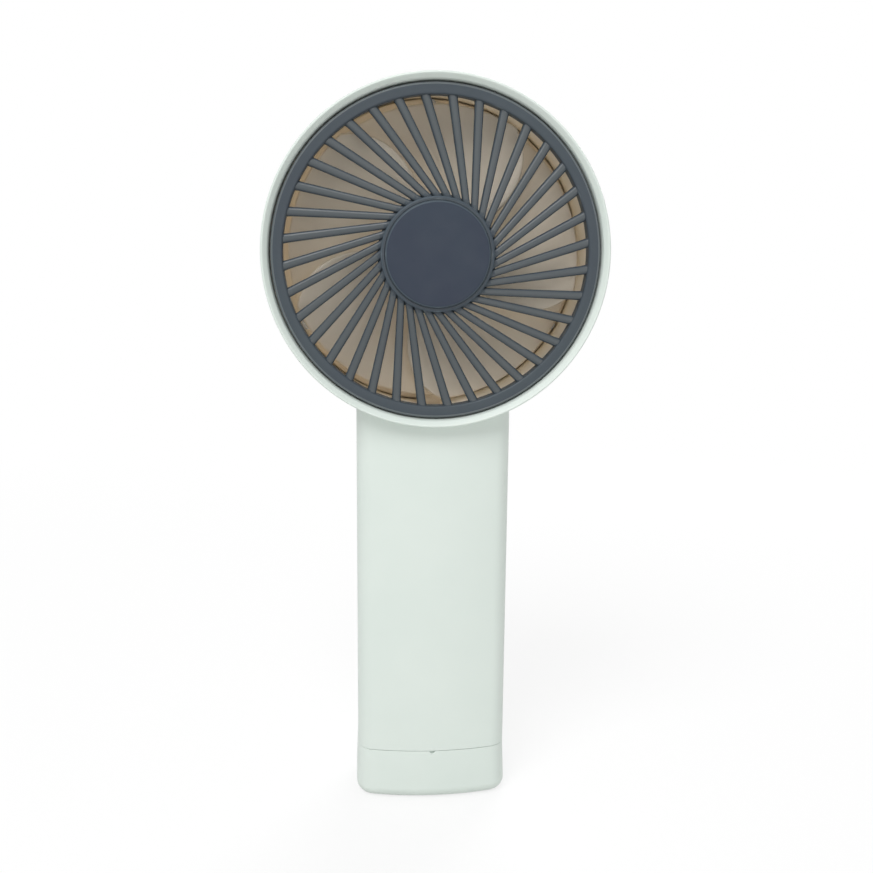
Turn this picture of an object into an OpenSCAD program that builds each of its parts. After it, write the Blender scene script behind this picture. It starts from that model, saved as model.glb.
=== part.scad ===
// Hand-held rechargeable mini fan: a round head with a swirl grille on a flat, rounded handle.
// Millimetres. +Z is up, the air leaves towards -Y, and the origin is the middle of the base.

/* [Head] */
// Outside diameter of the head at its front lip
head_d = 86; // [80:1:96]
// Height of the head's axis above the base
head_z = 147; // [143:1:170]
// Depth of the head from its front lip to its rear edge
head_depth = 34; // [33:1:42]
// Wall of the head's barrel
barrel_wall = 2.2; // [1.8:0.1:2.6]
// Step from the barrel out to the front lip
lip_flare = 0.6; // [0.4:0.1:1]
// Length of that step along the head's axis
lip_len = 2.6; // [2:0.1:3]
// Width of the pale lip round the front grille
lip_w = 2; // [1.6:0.1:2.6]
// Radius of the lip's outer edge
lip_round = 0.4; // [0.3:0.1:1.2]
// Fall of the lip from its crest to its inner edge
lip_slope = 1.5; // [0.8:0.1:2]
// Inward width of the ledge behind the front grille
ledge_w = 1.6; // [1.2:0.1:2]
// Thickness of that ledge
ledge_t = 1.2; // [1:0.1:1.6]
// Thickness of the rear lip
rear_lip_t = 3.6; // [3:0.1:4]
// Inward width of the rear lip
rear_lip_w = 3.6; // [3.4:0.1:4]
// Radius of the rear edge
rear_round = 5; // [3:0.5:5]

/* [Front grille] */
// Gap between the grille's rim and the lip round it
grille_gap = 0.3; // [0.3:0.1:0.8]
// Width of the grille's rim
rim_w = 3; // [2.2:0.1:3.4]
// Thickness of the grille's rim
rim_t = 3.5; // [2.4:0.1:4]
// Radius of the rim's front edges
rim_round = 0.6; // [0.4:0.1:1]
// Depth of the rim's face behind the lip's crest
rim_set = 1.6; // [1.4:0.1:3]
// Number of swirl spokes
spoke_count = 36; // [24:1:36]
// Distance by which each spoke passes the head's axis
spoke_offset = 8.45; // [6:0.05:9]
// Angle of the first spoke
spoke_phase = 7.6; // [0:0.1:10]
// Thickness of a spoke at the hub
spoke_hub_d = 1.75; // [1.2:0.05:1.8]
// Thickness of a spoke at the rim
spoke_rim_d = 2.3; // [1.6:0.05:2.6]
// Diameter of the grille's hub
hub_d = 28; // [26:0.5:32]
// Rise of the hub in front of the rim
hub_rise = 2.4; // [2:0.1:4]
// Thickness of the hub
hub_t = 3; // [2.6:0.1:4]
// Width of the hub's ring round the hub cap
hub_ring_w = 0.95; // [0.8:0.05:1.5]
// Gap round the hub cap
hub_cap_gap = 0.25; // [0.15:0.05:0.4]
// Rise of the hub cap in front of the hub
hub_cap_rise = 0.8; // [0.4:0.1:1.2]
// Radius of the hub cap's edge
hub_cap_round = 0.5; // [0.2:0.1:0.8]
// Depth of the hub cap's seat
hub_cap_seat = 0.6; // [0.4:0.1:0.8]
// Diameter of the hub cap's spigot
hub_spigot_d = 6; // [4:0.5:8]
// Number of snap lugs on the rim
lug_count = 4; // [3:1:6]
// Width of a snap lug
lug_w = 4; // [3:0.5:6]
// Thickness of a snap lug
lug_t = 1.2; // [0.8:0.1:1.4]
// Depth by which a lug enters the barrel
lug_reach = 0.5; // [0.3:0.1:0.7]

/* [Rear guard] */
// Thickness of the guard's rim
guard_rim_t = 2; // [1.6:0.1:2.6]
// Width of the guard's rim
guard_rim_w = 3; // [3:0.1:4]
// Number of swirl ribs
rib_count = 30; // [24:1:34]
// Distance by which each rib passes the head's axis
rib_offset = 6; // [4:0.1:7]
// Thickness of a rib
rib_d = 1.6; // [1.2:0.1:1.8]
// Diameter of the guard's hub plate
plate_d = 27; // [26:0.5:30]
// Thickness of the hub plate
plate_t = 2; // [1.6:0.1:2.6]
// Distance from the guard's seat back to the front of the hub plate
plate_drop = 0.5; // [0.3:0.1:0.8]
// Wall of the cup that holds the motor
cup_wall = 1.5; // [1.2:0.1:1.6]
// Depth of that cup
cup_h = 5.4; // [4:0.2:6]
// Width of the flat rib that carries the motor's leads
wire_rib_w = 5.6; // [5:0.2:7]
// Thickness of that rib
wire_rib_t = 1.8; // [1.6:0.1:2]
// Number of screws that hold the guard
guard_screw_count = 3; // [3:1:3]
// Head diameter of a guard screw
guard_screw_head = 2.8; // [2.4:0.1:3]
// Shank diameter of a guard screw
guard_screw_d = 1.6; // [1.4:0.1:1.8]

/* [Impeller] */
// Number of blades
blade_count = 5; // [4:1:6]
// Gap between the blade tips and the ledge's bore
tip_gap = 1.3; // [1:0.1:3]
// Angle that each blade covers
blade_wrap = 78; // [60:1:82]
// Angle by which each blade's tip leads its root
blade_sweep = 20; // [0:1:25]
// Rise of a blade along the axis at its root
blade_root_rise = 11; // [8:0.5:12]
// Rise of a blade along the axis at its tip
blade_tip_rise = 8; // [5:0.5:9]
// Thickness of a blade
blade_t = 1.2; // [1:0.1:1.6]
// Distance of the blades' middle in front of the head's middle
blade_mid = 2.5; // [1.5:0.5:3]
// Outside diameter of the impeller's hub
cone_d = 27; // [26:0.5:28]
// Length of the impeller's hub
cone_h = 15; // [13:0.5:15]
// Wall of the impeller's hub
cone_wall = 1.5; // [1.2:0.1:1.7]
// Radius of the hub's front edge
cone_round = 3; // [1.5:0.5:4]
// Clearance between the hub and the front grille
cone_gap = 3.8; // [3:0.2:4]
// Diameter of the boss on the shaft
boss_d = 6.4; // [5:0.2:8]
// Length of that boss
boss_h = 6.2; // [5:0.2:6.6]

/* [Motor] */
// Diameter of the motor
motor_d = 20.8; // [20:0.1:21]
// Length of the motor
motor_len = 13.5; // [13:0.1:14]
// Sheet thickness of the motor's can
can_wall = 0.6; // [0.5:0.05:0.7]
// Thickness of the end bell's flange
bell_flange_t = 1.5; // [1.2:0.1:1.8]
// Thickness of the end bell's plug inside the can
bell_plug_t = 0.8; // [0.6:0.1:1]
// Diameter of the shaft
shaft_d = 2; // [1.6:0.1:2.4]
// Outside diameter of the bushings
bushing_d = 5; // [4.4:0.1:5.4]
// Length by which the front bushing and its collar stand out of the can
collar_h = 1.4; // [1:0.1:1.8]
// Gap between the armature and the magnets
air_gap = 0.57; // [0.4:0.01:0.9]
// Length of the armature's core
core_len = 3.8; // [3:0.1:4]
// Overhang of the windings past each end of the core
winding_over = 1; // [0.6:0.1:1.1]
// Thickness of the magnets
magnet_t = 1.7; // [1.4:0.05:1.8]
// Angle that each magnet covers
magnet_angle = 120; // [90:5:140]
// Diameter of the commutator
commutator_d = 4.6; // [4.2:0.1:5]

/* [Handle] */
// Width of the handle
handle_w = 40; // [38:0.5:44]
// Thickness of the handle
handle_t = 26; // [25:0.5:27]
// Radius of the handle's crowned front and back
crown_r = 72; // [44:1:90]
// Radius of the handle's corners
corner_r = 5; // [4.5:0.1:6]
// Wall of the handle's shells
wall = 1.8; // [1.5:0.1:2]
// Thickness of the tongue that locates one shell in the other
tongue_t = 0.8; // [0.6:0.1:0.9]
// Height of that tongue
tongue_h = 1.2; // [0.8:0.1:1.6]
// Gap between the handle and the barrel
saddle_gap = 0.15; // [0.1:0.05:0.3]
// Width of the barrel's neck inside the handle
neck_w = 24; // [23:0.5:25]
// Thickness of the neck
neck_t = 16; // [14:0.5:17]
// Length of the neck below the barrel
neck_len = 12; // [11:0.5:14]
// Wall of the neck
neck_wall = 2; // [1.6:0.1:2.2]
// Sideways distance of the neck's screw posts from the middle
post_x = 8; // [7:0.5:8]
// Diameter of the screw posts
post_d = 5.2; // [4.6:0.1:5.6]
// Diameter of the hole that the motor's leads pass through
wire_hole_d = 4.6; // [4:0.1:5]

/* [Base cap] */
// Height of the base cap
cap_h = 13.9; // [11:0.1:15]
// Flare of the cap beyond the handle
cap_flare = 0.4; // [0.2:0.1:0.6]
// Radius of the cap's bottom edge
base_round = 3.2; // [2:0.1:3.6]
// Thickness of the cap's floor
floor_t = 2.2; // [1.8:0.1:3]
// Seam between the cap and the shells
seam = 0.3; // [0.2:0.05:0.4]
// Height of the cap's spigot inside the handle
spigot_h = 6; // [5:0.5:7]
// Wall of the spigot
spigot_t = 1.4; // [1.2:0.1:1.6]
// Sliding gap round the spigot
spigot_gap = 0.2; // [0.15:0.05:0.3]
// Depth of the collar that joins the spigot to the cap
collar_depth = 4; // [3:0.5:5]
// Width of the fingernail notch
notch_w = 1.8; // [1.4:0.1:3]
// Depth of the notch into the cap's face
notch_depth = 1; // [0.6:0.1:1.2]

/* [Electrics] */
// Width of the battery
battery_w = 32; // [28:0.5:32]
// Thickness of the battery
battery_t = 8; // [7:0.5:8]
// Length of the battery
battery_len = 50; // [40:1:50]
// Width of the foam pad in front of the battery
pad_w = 12; // [8:1:16]
// Length of the foam pad
pad_len = 40; // [20:1:40]
// Width of the circuit board
board_w = 18; // [17:0.5:18]
// Thickness of the circuit board
board_t = 1.2; // [1:0.1:1.6]
// Gap between the battery and the circuit board
board_gap = 2; // [1.6:0.1:2.2]
// Width of the charging socket
usb_w = 8.94; // [8.9:0.01:9]
// Height of the charging socket
usb_h = 3.26; // [3.2:0.01:3.3]
// Length of the charging socket
usb_len = 6.3; // [6:0.1:6.8]
// Sheet thickness of the socket
usb_wall = 0.3; // [0.25:0.05:0.35]
// Width of the recess round the socket
recess_w = 13; // [12.6:0.1:14]
// Height of that recess
recess_h = 7; // [6.6:0.1:8]
// Wall of the recess
recess_wall = 1.2; // [1:0.1:1.6]
// Side of the square switch
switch_w = 6; // [5.6:0.1:6.2]
// Height of the switch's body
switch_h = 3.4; // [3:0.1:3.6]
// Diameter of the switch's plunger
plunger_d = 3.2; // [3:0.1:3.6]
// Diameter of the power button
button_d = 10.5; // [9:0.1:11]
// Gap round the power button
button_gap = 0.25; // [0.2:0.05:0.4]
// Height of the power button above the handle's back
button_proud = 0.9; // [0.8:0.1:1.4]
// Travel of the power button
button_travel = 0.6; // [0.4:0.1:0.7]
// Diameter of the light pipe
pipe_d = 2.2; // [1.8:0.1:2.6]
// Diameter of the leads
lead_d = 1.2; // [1:0.1:1.3]

/* [Screws] */
// Shank diameter of the handle screws
screw_d = 2; // [1.8:0.1:2.2]
// Shank length of the handle screws
screw_len = 10; // [8:0.5:10.5]
// Head diameter of the handle screws
screw_head_d = 3.6; // [3.2:0.1:3.8]
// Head height of the handle screws
screw_head_h = 1.3; // [1:0.1:1.5]
// Diameter of the bosses round the screws
boss_round_d = 6.2; // [5.8:0.1:6.4]
// Sideways distance of the lower screws from the middle
lower_screw_x = 13; // [12.8:0.1:13.2]
// Depth of the lower screws' heads behind the parting plane
lower_seat = 5; // [4:0.5:6]

/* [Hidden] */
$fn = 96;

// Clearances
fit = 0.03;
slip = 0.1;
touch = 0.3;
over = 1;

// Head, along its own axis, with the front positive
lip_r = head_d / 2;
barrel_r = lip_r - lip_flare;
duct_r = barrel_r - barrel_wall;
pocket_r = lip_r - lip_w;
ledge_r = duct_r - ledge_w;
rear_open_r = duct_r - rear_lip_w;
front_w = head_depth / 2;
rim_front = front_w - rim_set;
rim_back = rim_front - rim_t;
rim_out_r = pocket_r - grille_gap;
rim_in_r = rim_out_r - rim_w;
hub_front = rim_front + hub_rise;
hub_back = hub_front - hub_t;
spoke_root = 0.8;
hub_seat_r = hub_d / 2 - hub_ring_w;
hub_cap_r = hub_seat_r - hub_cap_gap;
lug_gap = 0.2;
lug_z = rim_back + 0.5 * (rim_t - rim_round - lug_t);

// Rear guard and motor
guard_seat = rear_lip_t - front_w;
guard_front = guard_seat + guard_rim_t;
guard_out_r = duct_r - touch;
guard_in_r = guard_out_r - guard_rim_w;
plate_front = guard_seat - plate_drop;
plate_back = plate_front - plate_t;
wire_rib_front = guard_seat + wire_rib_t;
guard_screw_r = (guard_in_r + guard_out_r) / 2;
guard_screw_head_h = 1;
rib_phase = 3;
guard_screw_len = guard_rim_t + 0.6 * rear_lip_t;
motor_back = plate_front;
motor_front = motor_back + motor_len;
can_back = motor_back + bell_flange_t;
can_in_r = motor_d / 2 - can_wall;
can_front_t = 0.8;
can_front_in = motor_front - can_front_t;
bell_front = can_back + bell_plug_t;
core_mid = can_front_in - touch - winding_over - core_len / 2;
commutator_gap = 1;
commutator_clear = 0.2;
commutator_back = bell_front + commutator_gap;
commutator_front = core_mid - core_len / 2 - commutator_clear;
magnet_r = can_in_r - fit;
armature_d = 2 * (magnet_r - magnet_t - air_gap);
stem_w = 3;
shoe_t = 1.3;
shoe_angle = 90;
coil_w = 5.6;
coil_run = 1.93;
coil_to = sqrt(pow(armature_d / 2 - shoe_t, 2) - pow(coil_w / 2, 2)) - touch;
coil_from = coil_to - coil_run;
core_hub_r = coil_from - touch;
magnet_back = bell_front + touch;
magnet_front = can_front_in - touch;

// Impeller
cone_front = hub_back - cone_gap;
cone_back = cone_front - cone_h;
boss_back = cone_front - boss_h;
tip_r = ledge_r - tip_gap;
root_r = (cone_d - cone_wall) / 2;
shaft_inset = 0.5;
shaft_cover = 1.2;
shaft_back = motor_back + shaft_inset;
shaft_front = cone_front - shaft_cover;
tip_taper = 0.1;
edge_taper = 0.6;
blade_camber = 1.4;
chord_steps = 8;
span_steps = 6;

// Handle outline
corner_x = handle_w / 2 - corner_r;
crown_y = crown_r - handle_t / 2;
corner_y = sqrt(pow(crown_r - corner_r, 2) - pow(corner_x, 2)) - crown_y;
crown_angle = asin(corner_x / (crown_r - corner_r));
crown_steps = 12;
corner_steps = 7;
saddle_r = barrel_r + saddle_gap;
shell_bottom = cap_h + seam;
shell_top = head_z - barrel_r / 2;
neck_bottom = head_z - barrel_r - neck_len;
boss_margin = 1.4;
post_z = neck_bottom + post_d / 2 + boss_margin;
wire_y = neck_t / 2 - neck_wall - wire_hole_d / 2 - touch;
collar_in = wall + spigot_gap + spigot_t;

// Electrics, all carried by the board
board_lift = 2.1;
board_drop = 2.6;
board_bottom = cap_h + spigot_h + board_lift;
board_top = neck_bottom - board_drop;
battery_front = touch - inner_depth(battery_w / 2);
battery_back = battery_front + battery_t;
battery_lift = 8;
battery_bottom = board_bottom + battery_lift;
battery_top = battery_bottom + battery_len;
board_front = battery_back + board_gap;
board_back = board_front + board_t;
board_screw_low = 19;
board_screw_high = 25;
board_screw_grip = 4.6;
board_screw_z = [board_bottom + board_screw_low, board_top - board_screw_high];
board_screw_d = 2;
board_screw_head_h = 1.2;
board_post_d = 5;
usb_lift = 6.4;
usb_z = board_bottom + usb_lift;
usb_mouth = board_back + usb_len;
recess_floor = usb_mouth - touch;
switch_drop = 8.5;
switch_z = board_top - switch_drop;
switch_front = board_back + switch_h;
plunger_reach = 0.7;
plunger_root = 0.6;
plunger_back = switch_front - button_travel - plunger_root;
plunger_top = switch_front + plunger_reach;
button_r = button_d / 2;
button_flange_w = 1.2;
button_flange_gap = 0.15;
button_flange_r = button_r + button_flange_w;
button_flange_t = 0.9;
button_flange_top = back_inner(button_flange_r) - button_flange_gap;
button_top = handle_t / 2 + button_proud;
led_drop = 10;
led_z = switch_z - led_drop;
led_h = 0.8;
lower_screw_z = shell_bottom + spigot_h + boss_round_d / 2 + boss_margin;
upper_seat_t = 1.6;
upper_seat = neck_t / 2 + slip + upper_seat_t;

// Leads, from the motor and the battery to the board
lead_x = 1.1;
lead_gap = 0.05;
lead_bend = 4;
lead_lift = 1.5;
lead_run_w = wire_rib_front + lead_d / 2 + slip;
motor_pad_x = 3;
motor_pad_drop = 3.5;
motor_pad_y = board_back + lead_d / 2 + lead_gap;
cell_lead_x = 4;
cell_pad_x = 5.6;
cell_pad_y = board_front - lead_d / 2 - lead_gap;

function turn(a) = [cos(a), sin(a)];
function arc(c, r, a0, a1, n) = [for (i = [0:n]) c + r * turn(a0 + (a1 - a0) * i / n)];
function open_arc(c, r, a0, a1, n) = [for (i = [0:n - 1]) c + r * turn(a0 + (a1 - a0) * i / n)];

// Depth of the handle's inner face from its middle plane, at a sideways distance x
function back_inner(x) = sqrt(pow(crown_r - wall, 2) - x * x) - crown_y;
function corner_inner(x) = corner_y + sqrt(max(0, pow(corner_r - wall, 2) - pow(x - corner_x, 2)));
function inner_depth(x) = x < corner_x ? back_inner(x) : min(back_inner(x), corner_inner(x));

// The handle's section, drawn inwards by d
function outline(d) = concat(
    open_arc([0, crown_y], crown_r - d, 270 - crown_angle, 270 + crown_angle, crown_steps),
    open_arc([corner_x, -corner_y], corner_r - d, 270 + crown_angle, 360, corner_steps),
    [[corner_x + corner_r - d, -corner_y]],
    open_arc([corner_x, corner_y], corner_r - d, 0, 90 - crown_angle, corner_steps),
    open_arc([0, -crown_y], crown_r - d, 90 - crown_angle, 90 + crown_angle, crown_steps),
    open_arc([-corner_x, corner_y], corner_r - d, 90 + crown_angle, 180, corner_steps),
    [[-corner_x - corner_r + d, corner_y]],
    open_arc([-corner_x, -corner_y], corner_r - d, 180, 270 - crown_angle, corner_steps));

// One point of a blade: u runs along its chord, v from root to tip, and side is -1 or 1 through its thickness
function blade_angle(u, v) = blade_sweep * v * v + blade_wrap * (u - 0.5) * (1 - tip_taper * pow(v, 6));
function blade_height(v) = blade_root_rise + (blade_tip_rise - blade_root_rise) * v;
function blade_rise(u, v) = blade_height(v) * (0.5 - u) - blade_camber * (1 - pow(2 * u - 1, 2));
function blade_half(u) = blade_t / 2 * (1 - edge_taper * pow(2 * u - 1, 4));
function blade_point(u, v, side) = let (
        r = root_r + (tip_r - root_r) * v,
        z = blade_mid + blade_rise(u, v) + side * blade_half(u))
    [r * cos(blade_angle(u, v)), r * sin(blade_angle(u, v)), z];
blade_row = chord_steps + 1;
blade_sheet = blade_row * (span_steps + 1);
function at(s, i, j) = s * blade_sheet + i * blade_row + j;
function two(a, b, c, d) = [[a, c, b], [a, d, c]];
function sheet_faces(s, i, j) = two(at(s, i, j), at(s, i + 1, j), at(s, i + 1, j + 1), at(s, i, j + 1));
function side_faces(i, j) = two(at(0, i, j), at(0, i + 1, j), at(1, i + 1, j), at(1, i, j));
function end_faces(i, j) = two(at(0, i, j), at(1, i, j), at(1, i, j + 1), at(0, i, j + 1));
function flip(faces) = [for (f = faces) [f[2], f[1], f[0]]];
blade_points = [
    for (s = [-1, 1]) for (i = [0:span_steps]) for (j = [0:chord_steps])
        blade_point(j / chord_steps, i / span_steps, s)
];
blade_faces = [
    for (i = [0:span_steps - 1]) for (j = [0:chord_steps - 1]) each flip(sheet_faces(0, i, j)),
    for (i = [0:span_steps - 1]) for (j = [0:chord_steps - 1]) each sheet_faces(1, i, j),
    for (i = [0:span_steps - 1]) each side_faces(i, 0),
    for (i = [0:span_steps - 1]) each flip(side_faces(i, chord_steps)),
    for (j = [0:chord_steps - 1]) each end_faces(0, j),
    for (j = [0:chord_steps - 1]) each flip(end_faces(span_steps, j))
];

// A round lead swept along a smooth path through its points
function unit(v) = v / norm(v);
function held(p, i) = p[min(max(i, 0), len(p) - 1)];
function bend_2(a, b, c, d) = 2 * a - 5 * b + 4 * c - d;
function bend_3(a, b, c, d) = 3 * b - a - 3 * c + d;
function blend(a, b, c, d, t) =
    0.5 * (2 * b + (c - a) * t + bend_2(a, b, c, d) * t * t + bend_3(a, b, c, d) * t * t * t);
function smooth_path(p, n) = [
    for (i = [0:len(p) - 2]) for (k = [0:n - 1])
        blend(held(p, i - 1), p[i], p[i + 1], held(p, i + 2), k / n),
    p[len(p) - 1]
];
function heading(p, i) = unit(held(p, i + 1) - held(p, i - 1));
function ring_points(c, t, r, sides) = let (n = unit(cross(t, [1, 0, 0])), b = cross(t, n))
    [for (k = [0:sides - 1]) c + r * (cos(360 * k / sides) * n + sin(360 * k / sides) * b)];
function wall_faces(i, k, sides) = let (m = (k + 1) % sides)
    two(i * sides + k, i * sides + m, (i + 1) * sides + m, (i + 1) * sides + k);

module lead(points) {
    path = smooth_path(points, 3);
    sides = 8;
    count = len(path);
    rings = [for (i = [0:count - 1]) each ring_points(path[i], heading(path, i), lead_d / 2, sides)];
    walls = [for (i = [0:count - 2]) for (k = [0:sides - 1]) each wall_faces(i, k, sides)];
    start = [for (k = [1:sides - 2]) [0, k, k + 1]];
    last = (count - 1) * sides;
    end = [for (k = [1:sides - 2]) [last, last + k + 1, last + k]];
    polyhedron(rings, concat(walls, start, end));
}

// Places a shape on the head's axis: its Z points out of the front and its Y points up
module on_head() {
    translate([0, 0, head_z]) rotate([90, 0, 0]) children();
}

module ring(r_out, r_in, z0, z1) {
    translate([0, 0, z0]) difference() {
        cylinder(r = r_out, h = z1 - z0);
        translate([0, 0, -over]) cylinder(r = r_in, h = z1 - z0 + 2 * over);
    }
}

module rod_y(x, z, y0, y1, d) {
    translate([x, y0, z]) rotate([-90, 0, 0]) cylinder(d = d, h = y1 - y0);
}

// A slot-shaped bar along Y with round ends
module slot_y(z, w, h, y0, y1) {
    for (s = [-1, 1]) rod_y(s * (w - h) / 2, z, y0, y1, h);
    translate([-(w - h) / 2, y0, z - h / 2]) cube([w - h, y1 - y0, h]);
}

module lugs(extra) {
    for (i = [0:lug_count - 1]) rotate([0, 0, 45 + 360 * i / lug_count])
        translate([rim_out_r - over, -lug_w / 2 - extra, lug_z - extra])
            cube([over + grille_gap + lug_reach + extra, lug_w + 2 * extra, lug_t + 2 * extra]);
}

module barrel_ring() {
    rotate_extrude() polygon(concat(
        [[rear_open_r, guard_seat], [rear_open_r, -front_w]],
        arc([barrel_r - rear_round, rear_round - front_w], rear_round, -90, 0, 8),
        [[barrel_r, front_w - lip_len]],
        arc([lip_r - lip_round, front_w - lip_round], lip_round, 0, 90, 6),
        [[pocket_r, front_w - lip_slope], [pocket_r, rim_back]],
        [[ledge_r, rim_back], [ledge_r, rim_back - ledge_t]],
        [[duct_r, rim_back - ledge_t - ledge_w], [duct_r, guard_seat]]));
}

module neck() {
    cut_r = duct_r + 0.4 * barrel_wall;
    corner_reach = duct_r + 0.7 * barrel_wall;
    neck_top = head_z - sqrt(pow(corner_reach, 2) - pow(neck_w / 2, 2));
    difference() {
        translate([-neck_w / 2, -neck_t / 2, neck_bottom]) cube([neck_w, neck_t, neck_top - neck_bottom]);
        translate([neck_wall - neck_w / 2, neck_wall - neck_t / 2, neck_bottom - over])
            cube([neck_w - 2 * neck_wall, neck_t - 2 * neck_wall, neck_top - neck_bottom + 2 * over]);
        on_head() cylinder(r = cut_r, h = 2 * neck_t, center = true);
    }
    for (s = [-1, 1]) rod_y(s * post_x, post_z, -neck_t / 2, neck_t / 2, post_d);
}

module head_barrel() {
    color([0.87, 0.91, 0.88]) difference() {
        union() {
            on_head() barrel_ring();
            neck();
        }
        for (s = [-1, 1]) rod_y(s * post_x, post_z, -neck_t, neck_t, screw_d + 2 * fit);
        translate([0, wire_y, head_z - barrel_r - over])
            cylinder(d = wire_hole_d, h = barrel_wall + 2 * over);
        on_head() lugs(lug_gap);
        on_head() guard_screw_places() translate([0, 0, guard_front - guard_screw_len - touch])
            cylinder(d = guard_screw_d + 2 * fit, h = guard_screw_len);
    }
}

module swirl(count, offset, phase, from, to, d_from, d_to) {
    run_from = sqrt(pow(from[0], 2) - pow(offset, 2));
    run_to = sqrt(pow(to[0], 2) - pow(offset, 2));
    fall = atan((from[1] - to[1]) / (run_to - run_from));
    for (i = [0:count - 1]) rotate([0, 0, phase + 360 * i / count])
        translate([run_from, -offset, from[1]]) rotate([0, 90 + fall, 0])
            cylinder(d1 = d_from, d2 = d_to, h = norm([run_to - run_from, from[1] - to[1]]), $fn = 24);
}

module grille_hub() {
    socket_r = hub_spigot_d / 2 + fit;
    rotate_extrude() polygon(concat(
        [[0, hub_back], [hub_d / 2, hub_back]],
        arc([hub_d / 2 - hub_cap_round, hub_front - hub_cap_round], hub_cap_round, 0, 90, 5),
        [[hub_seat_r, hub_front], [hub_seat_r, hub_front - hub_cap_seat]],
        [[socket_r, hub_front - hub_cap_seat], [socket_r, hub_back + hub_cap_seat]],
        [[0, hub_back + hub_cap_seat]]));
}

module front_grille() {
    spoke_hub_z = hub_back + 0.5 * (hub_t - hub_cap_seat);
    spoke_rim_z = rim_back + 0.5 * rim_t;
    color([0.33, 0.37, 0.40]) on_head() {
        rotate_extrude() polygon(concat(
            [[rim_in_r, rim_back], [rim_out_r, rim_back]],
            arc([rim_out_r - rim_round, rim_front - rim_round], rim_round, 0, 90, 5),
            arc([rim_in_r + rim_round, rim_front - rim_round], rim_round, 90, 180, 5)));
        swirl(spoke_count, spoke_offset, spoke_phase, [hub_d / 2 - spoke_root, spoke_hub_z],
            [rim_in_r + rim_w / 2, spoke_rim_z], spoke_hub_d, spoke_rim_d);
        grille_hub();
        lugs(0);
    }
}

module hub_cap() {
    cap_front = hub_front + hub_cap_rise;
    color([0.28, 0.31, 0.35]) on_head() rotate_extrude() polygon(concat(
        [[0, hub_back + hub_cap_seat + touch], [hub_spigot_d / 2, hub_back + hub_cap_seat + touch]],
        [[hub_spigot_d / 2, hub_front - hub_cap_seat], [hub_cap_r, hub_front - hub_cap_seat]],
        arc([hub_cap_r - hub_cap_round, cap_front - hub_cap_round], hub_cap_round, 0, 90, 5),
        [[0, cap_front]]));
}

module guard_screw_places() {
    for (i = [0:guard_screw_count - 1]) rotate([0, 0, 90 + 360 * i / guard_screw_count])
        translate([guard_screw_r, 0, 0]) children();
}

module rear_guard() {
    rib_rim_z = guard_seat + guard_rim_t / 2;
    rib_hub_z = plate_back + plate_t / 2;
    color([0.87, 0.91, 0.88]) on_head() difference() {
        union() {
            ring(guard_out_r, guard_in_r, guard_seat, guard_front);
            swirl(rib_count, rib_offset, rib_phase, [plate_d / 2 - spoke_root, rib_hub_z],
                [guard_in_r + guard_rim_w / 2, rib_rim_z], rib_d, rib_d);
            translate([0, 0, plate_back]) cylinder(d = plate_d, h = plate_t);
            ring(motor_d / 2 + slip + cup_wall, motor_d / 2 + slip, plate_front - over, plate_front + cup_h);
            translate([-wire_rib_w / 2, -guard_in_r - guard_rim_w / 2, wire_rib_front - wire_rib_t])
                cube([wire_rib_w, guard_in_r + guard_rim_w / 2 - motor_d / 2 - slip, wire_rib_t]);
        }
        translate([0, 0, plate_front]) cylinder(d = motor_d + 2 * slip, h = cup_h + over);
        translate([-wire_rib_w / 2, -motor_d / 2 - 2 * cup_wall, wire_rib_front])
            cube([wire_rib_w, 2 * cup_wall + over, cup_h + over]);
        guard_screw_places() translate([0, 0, guard_seat - over])
            cylinder(d = guard_screw_d + 2 * slip, h = guard_rim_t + 2 * over);
    }
}

module guard_screws() {
    color("silver") on_head() guard_screw_places() {
        translate([0, 0, guard_front]) cylinder(d = guard_screw_head, h = guard_screw_head_h);
        translate([0, 0, guard_front - guard_screw_len]) cylinder(d = guard_screw_d, h = guard_screw_len);
    }
}

module impeller() {
    cone_r = cone_d / 2;
    color([0.66, 0.61, 0.54]) on_head() {
        rotate_extrude() polygon(concat(
            [[shaft_d / 2 + fit, boss_back], [boss_d / 2, boss_back], [boss_d / 2, cone_front - cone_wall]],
            [[cone_r - cone_wall, cone_front - cone_wall - cone_round]],
            [[cone_r - cone_wall, cone_back], [cone_r, cone_back]],
            arc([cone_r - cone_round, cone_front - cone_round], cone_round, 0, 90, 7),
            [[0, cone_front], [0, shaft_front + fit], [shaft_d / 2 + fit, shaft_front + fit]]));
        for (i = [0:blade_count - 1]) rotate([0, 0, 360 * i / blade_count])
            polyhedron(blade_points, blade_faces);
    }
}

module motor_can() {
    color([0.72, 0.73, 0.74]) on_head() difference() {
        union() {
            translate([0, 0, can_back]) cylinder(d = motor_d, h = motor_front - can_back);
            translate([0, 0, motor_front - over]) cylinder(d = bushing_d + 2 * can_wall, h = collar_h + over);
        }
        translate([0, 0, can_back - over]) cylinder(r = can_in_r, h = can_front_in - can_back + over);
        translate([0, 0, can_back]) cylinder(d = bushing_d + 2 * fit, h = motor_len + collar_h);
    }
}

module motor_end_bell() {
    color([0.12, 0.12, 0.13]) on_head() difference() {
        union() {
            translate([0, 0, motor_back]) cylinder(d = motor_d, h = bell_flange_t);
            translate([0, 0, can_back]) cylinder(r = can_in_r - fit, h = bell_plug_t);
        }
        translate([0, 0, motor_back - over])
            cylinder(d = bushing_d + 2 * fit, h = bell_flange_t + bell_plug_t + 2 * over);
    }
}

module motor_magnets() {
    color([0.22, 0.21, 0.21]) on_head() for (s = [0, 180]) rotate([0, 0, s - magnet_angle / 2])
        translate([0, 0, magnet_back]) rotate_extrude(angle = magnet_angle)
            translate([magnet_r - magnet_t, 0]) square([magnet_t, magnet_front - magnet_back]);
}

module motor_shaft() {
    color("silver") on_head() translate([0, 0, shaft_back])
        cylinder(d = shaft_d, h = shaft_front - shaft_back);
}

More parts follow.
